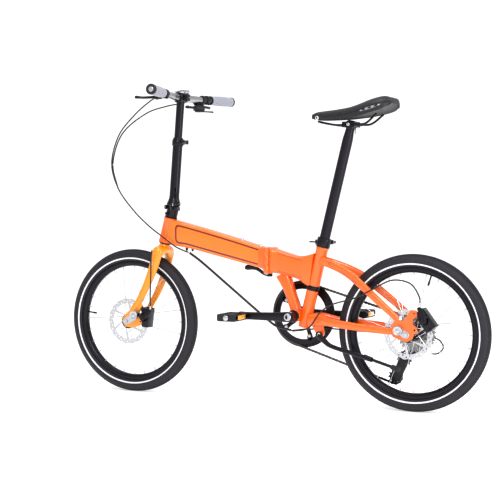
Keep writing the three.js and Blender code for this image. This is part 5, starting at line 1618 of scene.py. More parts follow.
# thermoplastic elastomer of the grips: pale grey, matt, slightly darker in its pores
elastomer = patterned(
    "grey_thermoplastic_elastomer",
    "ShaderNodeTexVoronoi",
    {"Scale": 520.0},
    ("#8A8C98", "#A9ABB6"),
    out="Distance",
    bump=(0.35, 0.0005),
    settings={"feature": "SMOOTH_F1"},
    Roughness=0.7,
    Sheen_Weight=0.15,
)

bm = bmesh.new()
rings = []
for y in [
    -285, -284, -240, -200, -160, -120, -104, -90, -75, -64, -56, -48, -38, -26, 0, 26, 38, 48, 56, 64,
    75, 90, 104, 120, 160, 200, 240, 284, 285,
]:
    radius = 12.7 if abs(y) < 70 else max(11.1, 12.7 - (abs(y) - 70) / 30 * 1.6)
    ahead = bar_at(y + 8) - bar_at(y - 8)
    rings.append(oval(bar_at(y), radius, radius, ahead, 40))
skin(bm, rings)
piece("swept_bar", bm, "handlebar", polished, replaces=["handlebar"])

for side, name in ((-1, "left"), (1, "right")):
    along = (bar_at(side * BAR_HALF) - bar_at(side * 60)).normalized()
    start = bar_at(side * 170)
    tip = bar_at(side * BAR_HALF)
    reach = (tip - start).length
    bm = bmesh.new()
    wall = [(0.0, 11.5), (0.0, 14.6), (1.0, 15.6), (8, 15.9)]
    wall += [
        (
            12 + k * (reach - 26) / 30,
            15.6 + 1.6 * math.sin(math.pi * k / 30 * 0.9) + (0.35 if k % 2 else -0.15),
        )
        for k in range(31)
    ]
    wall += [(reach - 8, 17.2), (reach - 4, 17.4), (reach - 4, 11.5)]
    turned(bm, start, along, wall, 40, loop=True)
    piece(f"grip_{name}_sleeve", bm, "handlebar", elastomer, replaces=[f"grip_{name}"])
    bm = bmesh.new()
    wall = [(-3.4, 11.6), (-3.4, 15.2), (-2.6, 16.0), (-0.9, 16.0), (-0.3, 15.4), (-0.3, 11.6)]
    turned(bm, start, along, wall, 40, loop=True)
    shape = [
        (-3.8, 16.6), (-3, 17.6), (1.2, 17.8), (3.0, 17.2), (4.0, 15.4), (4.2, 12.6), (3.2, 11.8),
        (3.0, 6), (3.2, 2),
    ]
    turned(bm, tip, along, shape, 40)
    piece(f"grip_{name}_ring_and_cap", bm, "handlebar", nylon)
    bm = bmesh.new()
    turned(bm, tip, along, ((2.8, 8.4), (3.6, 8.2), (3.9, 7.2), (3.9, 2.6)), 32)
    piece(f"grip_{name}_end_plug", bm, "handlebar", plated)

    middle = bar_at(side * 148)
    pivot = Vector((middle.x - 36, side * 138, middle.z - 9))

    def bracket_more(bm, middle=middle, pivot=pivot, side=side):
        # clamp screw under the bar and the knurled barrel adjuster with its locking ring
        cap_screw(bm, middle + Vector((9, 0, -14)), (0.3, 0, -1), 4.2, 3.0)
        way = Vector((-10, side * -26, 4)).normalized()
        foot = pivot + Vector((-5, side * -24, 5))
        turned(bm, foot, way, ((0, 6.6), (3, 6.8), (3.2, 5.4), (5, 5.4), (5.2, 6.2), (9, 6.2), (10, 4.6)), 16)

    finished_copy(
        f"brake_bracket_{name}_body",
        f"brake_bracket_{name}",
        "handlebar",
        nylon,
        0.8,
        more=bracket_more,
    )
    bm = bmesh.new()
    rod(bm, pivot - Vector((0, 0, 5)), pivot + Vector((0, 0, 5)), 7)
    limb(
        bm,
        [
            (pivot + Vector((-1, 0, 0)), 6, 5, (-0.1, side, 0)),
            (pivot + Vector((-12, side * 30, -3)), 5, 4.5, (-0.1, side, -0.1)),
            (pivot + Vector((-12, side * 70, -7)), 5.5, 4.5, (0, side, -0.1)),
            (pivot + Vector((-8, side * 106, -9)), 6, 4.5, (0.1, side, -0.05)),
            (pivot + Vector((-10, side * 117, -9)), 6.5, 5, (-0.3, side, 0)),
        ],
        square=2.5,
        round_ends=3.0,
    )
    piece(
        f"brake_lever_{name}_blade",
        bm,
        f"brake_lever_{name}",
        anodised,
        replaces=[f"brake_lever_{name}"],
    )
    bm = bmesh.new()
    for way in (-1, 1):
        cap_screw(bm, pivot + Vector((0, 0, 8.0 * way)), (0, 0, way), 4.2, 1.8)
    piece(f"brake_lever_{name}_screws", bm, "handlebar", plated)

shift_middle = bar_at(126)
shift_pivot = Vector((shift_middle.x - 14, 128, shift_middle.z - 30))


def shifter_more(bm):
    turned(
        bm,
        shift_pivot,
        (0, 0, 1),
        ((-6, 20.6), (4, 20.8), (9, 19.6), (11, 17.2), (11.4, 12), (10.8, 11.4), (10.8, 5)),
        40,
    )
    skin(
        bm,
        [
            oval(shift_pivot + Vector((-30 - at, -36 - at * 1.1, 5)), r, r, (-1, -1.1, 0), 16)
            for at, r in ((-5, 5.4), (-1, 5.6), (0, 4.6), (2, 4.4), (3, 3.4))
        ],
    )


finished_copy(
    "gear_shifter_body", "gear_shifter", "handlebar", nylon, 0.9, more=shifter_more
)
bm = bmesh.new()
window_z = shift_pivot.z + 11
skin(
    bm,
    [
        oval((shift_pivot.x - 9, 128, z), r, r * 0.55, (0, 0, 1), 24)
        for z, r in ((window_z - 1, 8), (window_z + 0.6, 7.6), (window_z + 1.0, 6.8))
    ],
)
piece("gear_window", bm, "handlebar", plated)

bm = bmesh.new()
turned(bm, shift_pivot, (0, 0, 1), ((-12, 13.6), (-11.4, 14.8), (-8.2, 15), (-7.5, 14.6)), 36)
limb(
    bm,
    [
        (shift_pivot + Vector((8, 4, -10)), 7, 2.3, (1, 0.5, 0)),
        (shift_pivot + Vector((30, 16, -11)), 6, 2.4, (1, 0.5, -0.1)),
        (shift_pivot + Vector((43, 22, -12)), 7, 3, (1, 0.4, 0)),
    ],
    round_ends=3.0,
    square=2.5,
)
piece("shift_lever_paddle", bm, "shift_lever", nylon, replaces=["shift_lever"])

# ---- drive train --------------------------------------------------------------------------------------
# A 52 tooth alloy chainring on a five-arm crank, an eight-step nickel-plated cassette, a bush-roller
# chain of 12.7 mm pitch, and a long-cage derailleur with two toothed pulleys.
CHAIN_Y = 46.0
CHAIN_PITCH = 12.7
RING_TEETH = 52
COGS = (11, 13, 15, 17, 20, 23, 26, 32)
COG_IN_USE = 3
COG_SPACING = 4.8
PULLEY_TEETH = 11
GUIDE_PULLEY = Vector((470.0, CHAIN_Y, 160.0))
TENSION_PULLEY = Vector((436.0, CHAIN_Y, 101.0))
CRANK_LENGTH = 170.0


def pitch_radius(teeth):
    return CHAIN_PITCH * teeth / (2 * math.pi)


def toothed(x, z, teeth, root, tip, phase=0.0):
    """Outline of a sprocket: round valleys for the rollers and narrow blunt teeth between them."""
    out = []
    shape = (
        (0.0, 0.0), (0.16, 0.05), (0.28, 0.4), (0.38, 0.85), (0.46, 1.0), (0.54, 1.0), (0.62, 0.85),
        (0.72, 0.4), (0.84, 0.05),
    )
    for i in range(teeth):
        for share, lift in shape:
            a = 2 * math.pi * (i + share + phase) / teeth
            r = root + (tip - root) * lift
            out.append((x + r * math.cos(a), z + r * math.sin(a)))
    return out


# nickel-plated steel of cogs and chain: warm grey, oily sheen, darker where the lubricant stays
nickel = patterned(
    "nickel_plated_steel",
    "ShaderNodeTexNoise",
    {"Scale": 120.0, "Detail": 3.0},
    ("#7E7C7C", "#BAB8B6"),
    out="Fac",
    rough=(0.2, 0.45),
    Metallic=1.0,
)

chain_steel = patterned(
    "browned_chain_steel",
    "ShaderNodeTexNoise",
    {"Scale": 160.0, "Detail": 3.0},
    ("#2E2B2B", "#726E6C"),
    out="Fac",
    rough=(0.25, 0.5),
    Metallic=1.0,
)

bm = bmesh.new()
ring_r = pitch_radius(RING_TEETH)
teeth_out = toothed(BB.x, BB.z, RING_TEETH, ring_r - 4.0, ring_r + 4.4)
plate(bm, teeth_out, CHAIN_Y - 1.1, CHAIN_Y + 1.1, [circle(BB.x, BB.z, 84, 60)], edge=0.3)
# outer guard ring and the five tabs that the crank's arms bolt to
lathe(
    bm,
    [
        (r, y)
        for r, y in (
            (84, 47.2), (100.4, 47.2), (100.4, 49.4), (111, 49.6), (112, 50.2), (112, 51), (110.6, 51.4),
            (87, 51.4), (84, 50),
        )
    ],
    BB,
    96,
)
for i in range(5):
    a = 2 * math.pi * i / 5
    middle = Vector((BB.x + 80 * math.cos(a), 0, BB.z - 80 * math.sin(a)))
    plate(bm, circle(middle.x, middle.z, 10.5, 24), CHAIN_Y - 1.1, CHAIN_Y + 1.4, edge=0.3)
piece("chainring_and_guard", bm, "crankset", anodised, replaces=["chainring"], smooth=30)

bm = bmesh.new()
bolt_at = Vector((BB.x + 75, CHAIN_Y + 9, BB.z))
cap_screw(bm, bolt_at, (0, 1, 0), 5.2, 1.8)
hexagon(bm, Vector((BB.x + 75, CHAIN_Y - 1.4, BB.z)), (0, -1, 0), 5.4, 2.0, sides=16)
around("chainring_bolts", bm, "crankset", plated, 5, BB)

for side, name in ((-1, "left"), (1, "right")):
    heading = -1 if side < 0 else 1
    tip = Vector((BB.x + heading * CRANK_LENGTH, 0, BB.z))
    bm = bmesh.new()
    limb(
        bm,
        [
            ((BB.x - heading * 14, side * 76, BB.z), 8, 14, (heading, side * 0.02, 0)),
            ((BB.x + heading * 4, side * 77, BB.z), 9, 17, (heading, side * 0.03, 0)),
            ((BB.x + heading * 40, side * 80, BB.z), 7.5, 14.5, (heading, side * 0.06, 0)),
            ((BB.x + heading * 130, side * 86, BB.z), 6.5, 12.5, (heading, side * 0.05, 0)),
            ((BB.x + heading * 166, side * 88, BB.z), 7, 13.5, (heading, side * 0.03, 0)),
            ((BB.x + heading * 180, side * 88, BB.z), 5.5, 9, (heading, 0, 0)),
        ],
        steps=6,
        sides=36,
        square=2.8,
        round_ends=3.0,
    )
    hub_r = 15.5 if side < 0 else 17
    turned(
        bm,
        (BB.x, 0, BB.z),
        (0, side, 0),
        (
            (39, hub_r - 1), (40, hub_r), (80, hub_r), (84, hub_r - 0.6), (85, hub_r - 2), (85, 12.5),
            (83.6, 12),
        ),
        40,
    )
    turned(bm, (tip.x, 0, tip.z), (0, side, 0), ((81.5, 9), (82.5, 10.2), (93, 10.2), (94, 9.4), (94, 7)), 32)
    if side > 0:
        for i in range(5):
            a = 2 * math.pi * i / 5
            way = Vector((math.cos(a), 0, -math.sin(a)))
            base = Vector((BB.x, CHAIN_Y + 5.4, BB.z))
            limb(
                bm,
                [
                    (base + way * 10, 4.5, 14, way),
                    (base + way * 30, 3.8, 9.5, way),
                    (base + way * 58, 3.4, 6.8, way),
                    (base + way * 75, 3.4, 8.2, way),
                    (base + way * 81, 3.0, 6.5, way),
                ],
                steps=4,
                sides=20,
                square=3.0,
                round_ends=2.0,
            )
        turned(bm, (BB.x, 0, BB.z), (0, 1, 0), ((47.6, 25), (48.4, 26), (54, 26), (56, 24), (62, 18)), 40)
    piece(f"crank_{name}_forging", bm, "crankset", anodised, replaces=[f"crank_{name}"])
    bm = bmesh.new()
    turned(
        bm,
        (BB.x, 0, BB.z),
        (0, side, 0),
        ((82, 12.3), (85.6, 12.3), (86.6, 11.4), (86.8, 8), (85.6, 7.4), (85.6, 4)),
        32,
    )
    if side < 0:
        for dx in (-7, 7):
            cap_screw(bm, (BB.x + dx, -74, BB.z + 15.0), (0, 0, 1), 3.2, 2.4)
    piece(f"crank_{name}_cap", bm, "crankset", plated)

# cassette: each cog a toothed plate with lightening holes, spacers between, a ribbed lock ring outside
bm = bmesh.new()
for i, teeth in enumerate(COGS):
    y = CHAIN_Y + (COG_IN_USE - i) * COG_SPACING
    r = pitch_radius(teeth)
    grown = 2.6 if i != COG_IN_USE else 3.4
    holes = [circle(REAR_AXLE.x, REAR_AXLE.z, 14.9, 30)]
    if teeth > 16:
        inner = 22 + (r - 30) * 0.42
        size = min(3.6, (r - 27) * 0.28 + 1.4)
        step = 2 * math.pi / 12
        holes += [
            circle(
                REAR_AXLE.x + inner * math.cos(k * step), REAR_AXLE.z + inner * math.sin(k * step), size, 10
            )
            for k in range(12)
        ]
    plate(
        bm,
        toothed(REAR_AXLE.x, REAR_AXLE.z, teeth, r - 4.0, r + grown, i * 0.37),
        y - 0.9,
        y + 0.9,
        holes,
        edge=0.2,
    )
    if i:
        lathe(
            bm,
            [
                (14.9, y + 0.9), (17.6, y + 0.9), (17.6, y + COG_SPACING - 0.9),
                (14.9, y + COG_SPACING - 0.9),
            ],
            REAR_AXLE,
            36,
        )
piece("cassette_cogs", bm, "cassette", nickel, replaces=["cassette"], smooth=30)
bm = bmesh.new()
lock_y = CHAIN_Y + COG_IN_USE * COG_SPACING
lathe(
    bm,
    [
        (11.5, lock_y - 2), (15.6, lock_y - 2), (16.2, lock_y + 0.9), (15.6, lock_y + 2.6),
        (12.4, lock_y + 3.0), (11.5, lock_y + 2.4),
    ],
    REAR_AXLE,
    36,
)
piece("cassette_lock_ring", bm, "cassette", anodised)


def chain_route():
    """Closed pitch line round the chainring, the cog in use and both pulleys."""
    stops = [
        (BB.x, BB.z, pitch_radius(RING_TEETH), 1),
        (REAR_AXLE.x, REAR_AXLE.z, pitch_radius(COGS[COG_IN_USE]), 1),
        (GUIDE_PULLEY.x, GUIDE_PULLEY.z, pitch_radius(PULLEY_TEETH), -1),
        (TENSION_PULLEY.x, TENSION_PULLEY.z, pitch_radius(PULLEY_TEETH), 1),
    ]
    normals = []
    for (x0, z0, r0, t0), (x1, z1, r1, t1) in zip(stops, stops[1:] + stops[:1]):
        gap = Vector((x1 - x0, z1 - z0))
        normals.append(math.atan2(gap.y, gap.x) + math.acos((t0 * r0 - t1 * r1) / gap.length))
    points = []
    for i, (x, z, r, turn_way) in enumerate(stops):
        begin, stop = normals[i - 1], normals[i]
        sweep = stop - begin
        if turn_way > 0:
            sweep = -((-sweep) % (2 * math.pi))
        else:
            sweep = sweep % (2 * math.pi)
        count = max(6, int(abs(sweep) * r / 3))
        for k in range(count + 1):
            a = begin + sweep * k / count
            points.append(Vector((x + turn_way * r * math.cos(a), CHAIN_Y, z + turn_way * r * math.sin(a))))
    return points


# Sets links along a closed line: inputs are the line's link count, the two link shapes and the finish
link_tree = bpy.data.node_groups.new("links_along_line", "GeometryNodeTree")
link_sockets = {}
for label, kind in (
    ("Geometry", "NodeSocketGeometry"),
    ("Links", "NodeSocketInt"),
    ("Inner link", "NodeSocketObject"),
    ("Outer link", "NodeSocketObject"),
    ("Finish", "NodeSocketMaterial"),
):
    made = link_tree.interface.new_socket(label, in_out="INPUT", socket_type=kind)
    link_sockets[label] = made.identifier
link_tree.interface.new_socket("Geometry", in_out="OUTPUT", socket_type="NodeSocketGeometry")
source = add(link_tree, "NodeGroupInput").outputs
line = add(link_tree, "GeometryNodeMeshToCurve", {"Mesh": source["Geometry"]})
even = add(link_tree, "GeometryNodeResampleCurve", {"Curve": line.outputs[0], "Count": source["Links"]})
heading = add(link_tree, "GeometryNodeInputTangent").outputs[0]
spin = add(link_tree, "FunctionNodeAlignRotationToVector", {"Vector": heading}, axis="X", pivot_axis="Y")
number = add(link_tree, "GeometryNodeInputIndex").outputs[0]
odd = add(link_tree, "ShaderNodeMath", {0: number, 1: 2.0}, operation="MODULO").outputs[0]
even_one = add(link_tree, "ShaderNodeMath", {0: 1.0, 1: odd}, operation="SUBTRACT").outputs[0]
both = add(link_tree, "GeometryNodeJoinGeometry")
for label, chosen in (("Inner link", odd), ("Outer link", even_one)):
    shape = add(link_tree, "GeometryNodeObjectInfo", {"Object": source[label]})
    copies = add(
        link_tree,
        "GeometryNodeInstanceOnPoints",
        {
            "Points": even.outputs[0],
            "Selection": chosen,
            "Instance": shape.outputs["Geometry"],
            "Rotation": spin.outputs[0],
        },
    )
    link_tree.links.new(copies.outputs[0], both.inputs[0])
real = add(link_tree, "GeometryNodeRealizeInstances", {"Geometry": both.outputs[0]})
finished = add(
    link_tree, "GeometryNodeSetMaterial", {"Geometry": real.outputs[0], "Material": source["Finish"]}
)
add(link_tree, "NodeGroupOutput", {"Geometry": finished.outputs[0]})

route = chain_route()
route_length = sum((b - a).length for a, b in zip(route, route[1:] + route[:1]))
link_count = round(route_length / CHAIN_PITCH / 2) * 2
half = route_length / link_count / 2


def link_shape(name, gap, thick, roller):
    """Two waisted plates with rivet ends; the inner link also carries its pair of rollers."""
    bm = bmesh.new()
    outline = []
    for k in range(7):
        a = -math.pi / 2 + math.pi * k / 6
        outline.append((half + 4.0 * math.cos(a), 4.0 * math.sin(a)))
    outline.append((0, 2.9))
    for k in range(7):
        a = math.pi / 2 + math.pi * k / 6
        outline.append((-half + 4.0 * math.cos(a), 4.0 * math.sin(a)))
    outline.append((0, -2.9))
    for side in (-1, 1):
        rows = [[Vector((x, side * y, z)) for x, z in outline] for y in (gap, gap + thick)]
        skin(bm, rows)
    for x in (-half, half):
        if roller:
            skin(bm, [oval((x, y, 0), 3.8, 3.8, (0, 1, 0), 8) for y in (-gap, gap)])
        else:
            skin(
                bm,
                [
                    oval((x, y, 0), 1.8, 1.8, (0, 1, 0), 6)
                    for y in (-gap - thick - 0.25, gap + thick + 0.25)
                ],
            )
    bmesh.ops.scale(bm, vec=(0.001, 0.001, 0.001), verts=bm.verts)
    bmesh.ops.recalc_face_normals(bm, faces=bm.faces)
    mesh = bpy.data.meshes.new(name)
    bm.to_mesh(mesh)
    bm.free()
    return bpy.data.objects.new(name, mesh)


inner_link = link_shape("inner_link_shape", 1.25, 0.8, True)
outer_link = link_shape("outer_link_shape", 2.1, 0.8, False)
for shape in (inner_link, outer_link):
    bpy.context.collection.objects.link(shape)
bm = bmesh.new()
line_points = [bm.verts.new(point) for point in route]
for k, vert in enumerate(line_points):
    if (vert.co - line_points[k - 1].co).length > 1e-4:
        bm.edges.new((line_points[k - 1], vert))
repeated(
    "chain_links",
    bm,
    "rear_frame",
    chain_steel,
    link_tree,
    {"Links": link_count, "Inner link": inner_link, "Outer link": outer_link, "Finish": chain_steel},
    link_sockets,
    replaces=["chain"],
    smooth=30,
)
for shape in (inner_link, outer_link):
    bpy.data.objects.remove(shape)

for name, at in (("guide", GUIDE_PULLEY), ("tension", TENSION_PULLEY)):
    bm = bmesh.new()
    r = pitch_radius(PULLEY_TEETH)
    holes = [circle(at.x, at.z, 3.3, 16)] + [
        circle(at.x + 9.5 * math.cos(k * math.pi / 2.5), at.z + 9.5 * math.sin(k * math.pi / 2.5), 2.6, 10)
        for k in range(5)
    ]
    plate(
        bm, toothed(at.x, at.z, PULLEY_TEETH, r - 4, r + 1.8), CHAIN_Y - 1.2, CHAIN_Y + 1.2, holes, edge=0.3
    )
    lathe(
        bm,
        [(3.3, CHAIN_Y - 2), (6.4, CHAIN_Y - 2), (6.4, CHAIN_Y + 2), (3.3, CHAIN_Y + 2)],
        Vector((at.x, 0, at.z)),
        24,
    )
    piece(
        f"{name}_pulley_wheel",
        bm,
        f"{name}_pulley",
        nylon,
        replaces=[f"{name}_pulley"],
        smooth=30,
    )


def derailleur_more(bm):
    # pivot bolt with its hexagon socket, parallelogram pins, cable clamp and barrel adjuster
    cap_screw(bm, (526, 92, 216), (0, 1, 0), 8.5, 2.0)
    cap_screw(bm, (470, 76, 160), (0, 1, 0), 8.0, 2.2)
    for at in ((508, 84, 204), (490, 82, 186)):
        cap_screw(bm, at, (-0.1, 1, 0), 3.6, 2.0)
    hexagon(bm, (500, 86, 190), (0, 1, 0), 4.0, 2.6)
    for wheel in (GUIDE_PULLEY, TENSION_PULLEY):
        cap_screw(bm, (wheel.x, 54.6, wheel.z), (0, 1, 0), 4.4, 1.8)


finished_copy(
    "derailleur_body", "derailleur", "rear_frame", nylon, 0.5, more=derailleur_more
)

# pedals: nylon cage with raised grip pins on both treads, a steel spindle and a dust cap; an amber
# reflector with a moulded prism field is set in each end face
amber_lens = patterned(
    "amber_acrylic_prisms",
    "ShaderNodeTexVoronoi",
    {"Scale": 420.0},
    ("#F08A0A", "#FFC04A"),
    out="Distance",
    bump=(0.5, 0.0008),
    settings={"distance": "MANHATTAN"},
    Roughness=0.12,
    Coat_Weight=1.0,
    Coat_Roughness=0.04,
    IOR=1.49,
)

for side, name in ((-1, "left"), (1, "right")):
    tip = Vector((BB.x + side * CRANK_LENGTH, 0, BB.z))
    bm = bmesh.new()
    inner, outer = side * 98, side * 188
    low, high = min(inner, outer), max(inner, outer)
    for x0, x1 in ((-34, -26.5), (-10.5, 10.5), (26.5, 34)):
        corners = [(x0, -11), (x1, -11), (x1, 11), (x0, 11)]
        outline = rounded([(tip.x + a, tip.z + b) for a, b in corners], 2.5, 3)
        plate(bm, outline, low + 1, high - 1, edge=0.8)
    for y0, y1 in ((low, low + 13.5), (high - 13.5, high)):
        outline = rounded(
            [(tip.x + a, tip.z + b) for a, b in ((-34, -12), (34, -12), (34, 12), (-34, 12))], 7, 5
        )
        plate(bm, outline, y0, y1, edge=1.2)
    # grip pins in two rows a tread, both faces
    for x in (-30, -6, 6, 30):
        for k in range(5):
            y = low + 20 + k * (high - low - 40) / 4
            for way in (-1, 1):
                at = Vector((tip.x + x, y, tip.z + 10.6 * way))
                skin(
                    bm,
                    [
                        oval(at + Vector((0, 0, up * way)), r, r, (0, 0, way), 8)
                        for up, r in ((0, 2.0), (1.3, 1.7), (1.4, 1.2))
                    ],
                )
    piece(f"pedal_{name}_cage", bm, f"pedal_{name}", nylon, replaces=[f"pedal_{name}"])
    bm = bmesh.new()
    rod(bm, (tip.x, side * 81, tip.z), (tip.x, side * 99, tip.z), 6.4)
    hexagon(bm, (tip.x, side * 94.5, tip.z), (0, side, 0), 8.2, 3.2)
    turned(bm, (tip.x, 0, tip.z), (0, side, 0), ((186, 9), (192.6, 8.8), (193.8, 7.4), (194, 4)), 24)
    piece(f"pedal_{name}_spindle", bm, f"pedal_{name}", plated)
    bm = bmesh.new()
    for way in (-1, 1):
        x = tip.x + way * 34.1
        skin(
            bm,
            [
                box_ring(x + way * d, tip.z - 7 + i, tip.z + 7 - i, 26 - i, 2.5, 4, middle=side * 143)
                for d, i in ((-1.5, 0), (0.6, 0), (1.2, 0.7))
            ],
        )
    piece(f"pedal_{name}_reflectors", bm, f"pedal_{name}", amber_lens)

# ---- seatpost and saddle ------------------------------------------------------------------------------
# A long 33.9 mm alloy post in a quick-release clamp; the saddle is moulded foam on a nylon shell with a
# stitched synthetic leather cover, white-ringed rivets at the nose and pierced metal strips at the tail.
clamp = seat_at(288.3)


def clamp_more(bm):
    cap_screw(bm, clamp + Vector((29, 22, 0)), (1, 0, 0), 5.2, 3.0)


finished_copy("seat_clamp_collar", "seat_clamp", "rear_frame", anodised, 0.7, more=clamp_more)
lever_foot = clamp + Vector((-32, 22, 0))
bm = bmesh.new()
rod(bm, lever_foot - Vector((0, 0, 8)), lever_foot + Vector((0, 0, 8)), 7)
limb(
    bm,
    [
        (lever_foot, 5, 3, (-0.1, -1, 0)),
        (lever_foot + Vector((-4, -24, 1)), 6, 2.6, (-0.1, -1, 0.1)),
        (lever_foot + Vector((-2, -47, 2)), 8, 2.4, (0.1, -1, 0)),
    ],
    square=2.6,
    round_ends=2.5,
)
piece("seat_lever_forging", bm, "seat_lever", anodised, replaces=["seat_clamp_lever"])

# long drawn tube: black anodised, fine drawing lines down it and a soft violet-grey highlight
post_finish = patterned(
    "drawn_anodised_post",
    "ShaderNodeTexNoise",
    {"Scale": 1.0, "Detail": 2.0},
    ("#232127", "#343138"),
    out="Fac",
    stretch=(900.0, 900.0, 12.0),
    rough=(0.3, 0.44),
    Metallic=0.75,
)
bm = bmesh.new()
POST_LOW = 104.0
wall = [(POST_LOW + 6, 15.1), (POST_LOW, 15.2), (POST_LOW, 16.4), (POST_LOW + 0.8, 16.95)]
wall += [(POST_LOW + 60 * k, 16.95) for k in range(1, 9)]
wall += [(624, 16.95), (634, 16.6), (646, 15.4), (658, 14.2), (668, 13.8)]
skin(bm, [oval(seat_at(at), r, r, SEAT_DIR, 48) for at, r in wall])
piece("seatpost_tube", bm, "seat_assembly", post_finish, replaces=["seatpost"])

# two-piece rail clamp with its bolt
saddle_clamp = seat_at(678)
bm = bmesh.new()
turned(bm, saddle_clamp, (0, 1, 0), ((-17, 13.6), (-16, 15), (16, 15), (17, 13.6)), 36)
for low, high in ((-8, 0.6), (1.4, 10)):
    outline = rounded(
        [
            (saddle_clamp.x + a, saddle_clamp.z + b)
            for a, b in ((-22, low), (22, low), (22, high), (-22, high))
        ],
        2.4,
        4,
    )
    plate(bm, outline, -26.5, 26.5, edge=1.0)
piece("rail_clamp", bm, "seat_assembly", anodised)
bm = bmesh.new()
for way in (-1, 1):
    cap_screw(bm, saddle_clamp + Vector((0, 27.0 * way, 1)), (0, way, 0), 5.6, 3.0)
rod(bm, saddle_clamp + Vector((17, 0, -30)), saddle_clamp + Vector((17, 0, -8)), 4.2)
piece("rail_clamp_bolts", bm, "seat_assembly", plated)

def ring_rows(line, wide, high, sides):
    """Oval sections along a line, each square to it."""
    rows = []
    for k, p in enumerate(line):
        ahead = line[min(k + 1, len(line) - 1)] - line[max(k - 1, 0)]
        rows.append(oval(p, wide, high, ahead, sides))
    return rows


RAIL_RADIUS = 3.5
RAIL = ((98, 34, 32), (62, 27, 4), (30, 22, 0), (-40, 22, 0), (-88, 12, 8), (-112, 4, 14))
bm = bmesh.new()
for side in (-1, 1):
    line = curve_through([saddle_clamp + Vector((x, side * y, z)) for x, y, z in RAIL], 8)
    skin(bm, ring_rows(line, RAIL_RADIUS, RAIL_RADIUS, 16))
piece("rail_wires", bm, "seat_assembly", anodised, replaces=["saddle_rails"])

# Stations of the cover: distance along X, lower edge, crown and half width
SADDLE = (
    (168, 937, 946, 7), (170, 934, 949.5, 11), (174, 931.5, 953, 15.5), (186, 929.5, 955.5, 18.5),
    (200, 928, 957, 21), (250, 928, 961, 25), (300, 930, 967, 37), (345, 935, 978, 56),
    (385, 943, 990, 71), (420, 952, 997, 75), (438, 959.5, 996, 68), (446, 966, 990, 54),
)


def saddle_row(x):
    for a, b in zip(SADDLE, SADDLE[1:]):
        if x <= b[0]:
            t = (x - a[0]) / (b[0] - a[0])
            return [p + (q - p) * t for p, q in zip(a, b)]
    return list(SADDLE[-1])


def smooth_row(x, reach=9.0):
    rows = [saddle_row(min(max(x + d * reach, 168), 446)) for d in (-1, -0.5, 0, 0.5, 1)]
    return [sum(r[k] for r in rows) / 5 for k in (1, 2, 3)]


def cover_point(x, share, lift=0.0):
    """Point of the cover: share runs -1 at the left lower edge over the crown to +1 at the right one."""
    low, high, wide = smooth_row(x)
    a = share * math.pi / 2
    side = math.copysign(abs(math.sin(a)) ** 0.62, share)
    up = abs(math.cos(a)) ** 0.72
    y = side * (wide + lift)
    sag = 0.0
    if x > 300:
        # two crowned cheeks with a shallow valley along the middle, as foam over a shell takes it
        fade = min(1.0, (x - 300) / 70)
        sag = fade * (3.6 * math.exp(-((y / 15) ** 2)) - 1.6 * math.exp(-(((abs(y) - 38) / 20) ** 2)))
    tuck = 2.2 * max(0.0, abs(share) - 0.86) / 0.14
    return Vector((x, y * (1 - tuck / 40), low + (high - low) * up + lift * up - sag))


steps = [
    168.6, 169.6, 171.2, 173.4, 177, 182, 190, 200, 212, 226, 240, 256, 272, 288, 303, 317, 331, 344, 357,
    370, 382, 393, 403, 412, 420, 427, 433, 438, 442, 444.6, 446,
]
shares = [-1 + 2 * k / 44 for k in range(45)]
# pebbled grain, about 1.1 mm between cells
cover = patterned(
    "stitched_synthetic_leather",
    "ShaderNodeTexVoronoi",
    {"Scale": 900.0},
    ("#1B191D", "#2A272C"),
    out="Distance",
    bump=(0.3, 0.0004),
    settings={"feature": "SMOOTH_F1"},
    Roughness=0.42,
    Specular_IOR_Level=0.45,
)

bm = bmesh.new()
grid = []
for x in steps:
    row = [cover_point(x, s) for s in shares]
    low = smooth_row(x)[0]
    # the cover turns under the shell's edge, and the shell closes the underside, hollowed upward
    under = []
    for k in range(1, 16):
        y = row[-1].y + (row[0].y - row[-1].y) * k / 16
        hollow = min(10.0, (smooth_row(x)[1] - low) * 0.4) * (1 - (2 * k / 16 - 1) ** 4)
        under.append(Vector((x, y, row[-1].z + hollow)))
    grid.append(row + under)
skin(bm, grid)
saddle_cover = piece(
    "saddle_cover_and_foam", bm, "seat_assembly", cover, replaces=["saddle"], smooth=60
)

# the raised seam round the flanks, and above it two lines of stitching from nose to tail
SEAM_HALF_WIDTH = 0.9
SEAM_HEIGHT = 0.7
bm = bmesh.new()
for side in (-1, 1):
    line = [cover_point(x, side * 0.8, 0.25) for x in steps[4:-2]]
    skin(bm, ring_rows(line, SEAM_HALF_WIDTH, SEAM_HEIGHT, 10))
piece("saddle_seam", bm, "seat_assembly", cover)

thread = patterned(
    "grey_polyester_thread",
    "ShaderNodeTexWave",
    {"Scale": 900.0, "Distortion": 1.0},
    ("#3A383D", "#55535A"),
    out="Fac",
    Roughness=0.7,
)
bm = bmesh.new()
STITCH = 3.6
for side in (-1, 1):
    x = 186.0
    while x < 436:
        a, b = cover_point(x, side * 0.72, 0.15), cover_point(x + STITCH * 0.62, side * 0.72, 0.15)
        rod(bm, a, b, 0.45, sides=6, edge=0.15)
        x += STITCH
piece("saddle_stitches", bm, "seat_assembly", thread)

